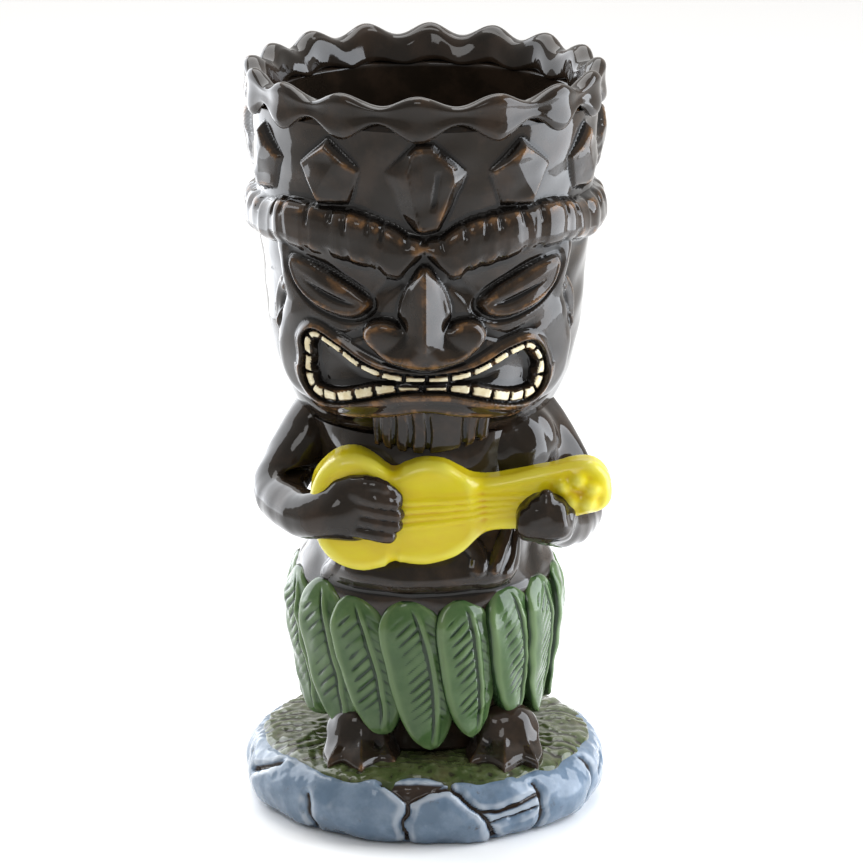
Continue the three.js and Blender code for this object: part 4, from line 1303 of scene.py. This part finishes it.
def grass(n):
    moss, dry, earth = (0.034, 0.050, 0.014), (0.066, 0.080, 0.030), (0.07, 0.05, 0.028)
    tone = n.mix(n.ramp(n.noise(5, 5, 0.65), 0.35, 0.68), moss, dry)
    tone = n.mix(n.times(n.ramp(n.noise(11, 3, 0.5), 0.5, 0.72), 0.6), tone, earth)
    tone = n.mix(n.edge(0.02, 0.16), tone, (0.10, 0.115, 0.055))
    tone = n.mix(n.edge(-0.02, -0.14), tone, (0.02, 0.018, 0.01))
    speck = n.ramp(n.noise(1.6, 3, 0.75), 0.64, 0.74)
    return n.mix(speck, tone, (0.012, 0.010, 0.007))


def stone(n):
    blue, pale, worn = (0.098, 0.145, 0.205), (0.165, 0.220, 0.290), (0.22, 0.26, 0.32)
    tone = n.mix(n.ramp(n.noise(8, 5, 0.6), 0.35, 0.7), blue, pale)
    tone = n.mix(n.times(n.ramp(n.noise(3.2, 4, 0.65), 0.58, 0.78), 0.45), tone, worn)
    tone = n.mix(n.edge(0.05, 0.32), tone, (0.30, 0.34, 0.39))
    smear = n.ramp(n.noise(7, 5, 0.7), 0.60, 0.74)
    smear = n.times(smear, n.ramp(n.noise(1.4, 3, 0.7), 0.42, 0.62))
    tone = n.mix(n.times(smear, 0.85), tone, (0.07, 0.05, 0.035))
    return n.mix(n.swell(0.12, 0.6), tone, (0.028, 0.017, 0.011))


# ------------------------------------------------------------------ build
MATERIALS = {
    "brown_glaze": glaze("brown_glaze", brown),
    "cream_glaze": glaze("cream_glaze", cream, 0.10, 0.2),
    "yellow_glaze": glaze("yellow_glaze", yellow, 0.16),
    "leaf_glaze": glaze("leaf_glaze", leaf, 0.07, 0.3, 0.06),
    "grass_glaze": glaze("grass_glaze", grass, 0.10, 0.4, 0.2),
    "stone_glaze": glaze("stone_glaze", stone, 0.09, 0.4, 0.1),
}
COLLAR_VOXEL = 0.3
ARM_VOXEL = 0.42
GUITAR_VOXEL = 0.36
FOOT_VOXEL = 0.34
FOOT_REACH = 11.5  # half width of the box that a foot is meshed in

make_head()
make_lip()
make_trunk()
solid("chest_collar", (-17, -37, 87), (17, -20, 107), COLLAR_VOXEL, collar, "brown_glaze")
solid("arm_right", (-43, -44, 66), (-3, 6, 106), ARM_VOXEL, right_arm, "brown_glaze")
solid("arm_left", (9, -44, 66), (44, 8, 106), ARM_VOXEL, left_arm, "brown_glaze")
solid("ukulele", (-29, -41, 63), (47, -21, 100), GUITAR_VOXEL, guitar_distance, "yellow_glaze")
for side, middle, name in ((-1, 15.2, "foot_right"), (1, 19.0, "foot_left")):
    low = (side * middle - FOOT_REACH, -38, 14)
    high = (side * middle + FOOT_REACH, -13, 35)
    solid(name, low, high, FOOT_VOXEL, foot(side, middle), "brown_glaze")
for number in range(LEAVES):
    make_leaf(number)
make_grass()
make_stone()


# ------------------------------------------------------------------ stage
def paper(name, colour, rough):
    material, n, shader = new_material(name)
    tone = n.mix(n.ramp(n.noise(300, 2), 0.3, 0.7), colour, tuple(0.985 * c for c in colour))
    n.put(shader.inputs["Base Color"], tone)
    shader.inputs["Roughness"].default_value = rough
    shader.inputs["Specular IOR Level"].default_value = 0.2
    return material


FLOOR_REACH = 5000
corners = [(x * FLOOR_REACH, y * FLOOR_REACH, 0) for x, y in ((-1, -1), (1, -1), (1, 1), (-1, 1))]
floor = add_mesh("floor", corners, [(0, 1, 2, 3)], smooth=False)
floor.data.materials.append(paper("floor_paper", (0.93, 0.93, 0.93), 0.8))


def softbox(name, place, target, width, height, power, colour=(1, 1, 1)):
    light = bpy.data.lights.new(name, "AREA")
    light.shape = "RECTANGLE"
    light.size, light.size_y = width * MM, height * MM
    light.energy = power
    light.color = colour
    made = bpy.data.objects.new(name, light)
    made.location = Vector(place) * MM
    made.rotation_euler = (Vector(target) - Vector(place)).to_track_quat("-Z", "Y").to_euler()
    made.visible_camera = False
    bpy.context.scene.collection.objects.link(made)


softbox("box_left", (-270, 205, 195), (0, 0, 150), 380, 390, 1.7, (0.90, 0.94, 1.0))
softbox("box_right", (342, -12, 200), (0, -12, 150), 290, 400, 2.45, (0.88, 0.93, 1.0))
softbox("box_top", (-60, 480, 1000), (0, 150, 0), 900, 700, 7)
softbox("box_front", (-260, -900, 900), (0, 0, 90), 460, 360, 2.0)

world = bpy.data.worlds.new("studio")
bpy.context.scene.world = world
world.use_nodes = True
sky = Nodes(world.node_tree)
back = world.node_tree.nodes["Background"]
direction = sky.new("ShaderNodeSeparateXYZ")
sky.links.new(sky.new("ShaderNodeTexCoord").outputs["Generated"], direction.inputs[0])
back.inputs["Color"].default_value = (1.0, 0.985, 0.96, 1)
behind = sky.ramp(direction.outputs["Y"], -0.7, 0.6, 0.4, 1.0)
beside = sky.ramp(direction.outputs["X"], 0.25, 0.85, 1.0, 0.6)
sky.put(back.inputs["Strength"], sky.times(behind, beside))

# ------------------------------------------------------------------ camera
ELEVATION = 16.05
DISTANCE = 1368
LENS = 241
SENSOR = 36
AIM = (1.55, 0, 89.7)
camera = bpy.data.cameras.new("camera")
camera.lens = LENS
camera.sensor_width = SENSOR
camera.clip_start, camera.clip_end = 0.01, 50
eye = bpy.data.objects.new("camera", camera)
e = ELEVATION * DEG
back_off = Vector((0, -math.cos(e), math.sin(e))) * DISTANCE
eye.location = (Vector(AIM) + back_off) * MM
eye.rotation_euler = (math.pi / 2 - e, 0, 0)
bpy.context.scene.collection.objects.link(eye)
bpy.context.scene.camera = eye
bpy.context.scene.view_settings.view_transform = "Standard"
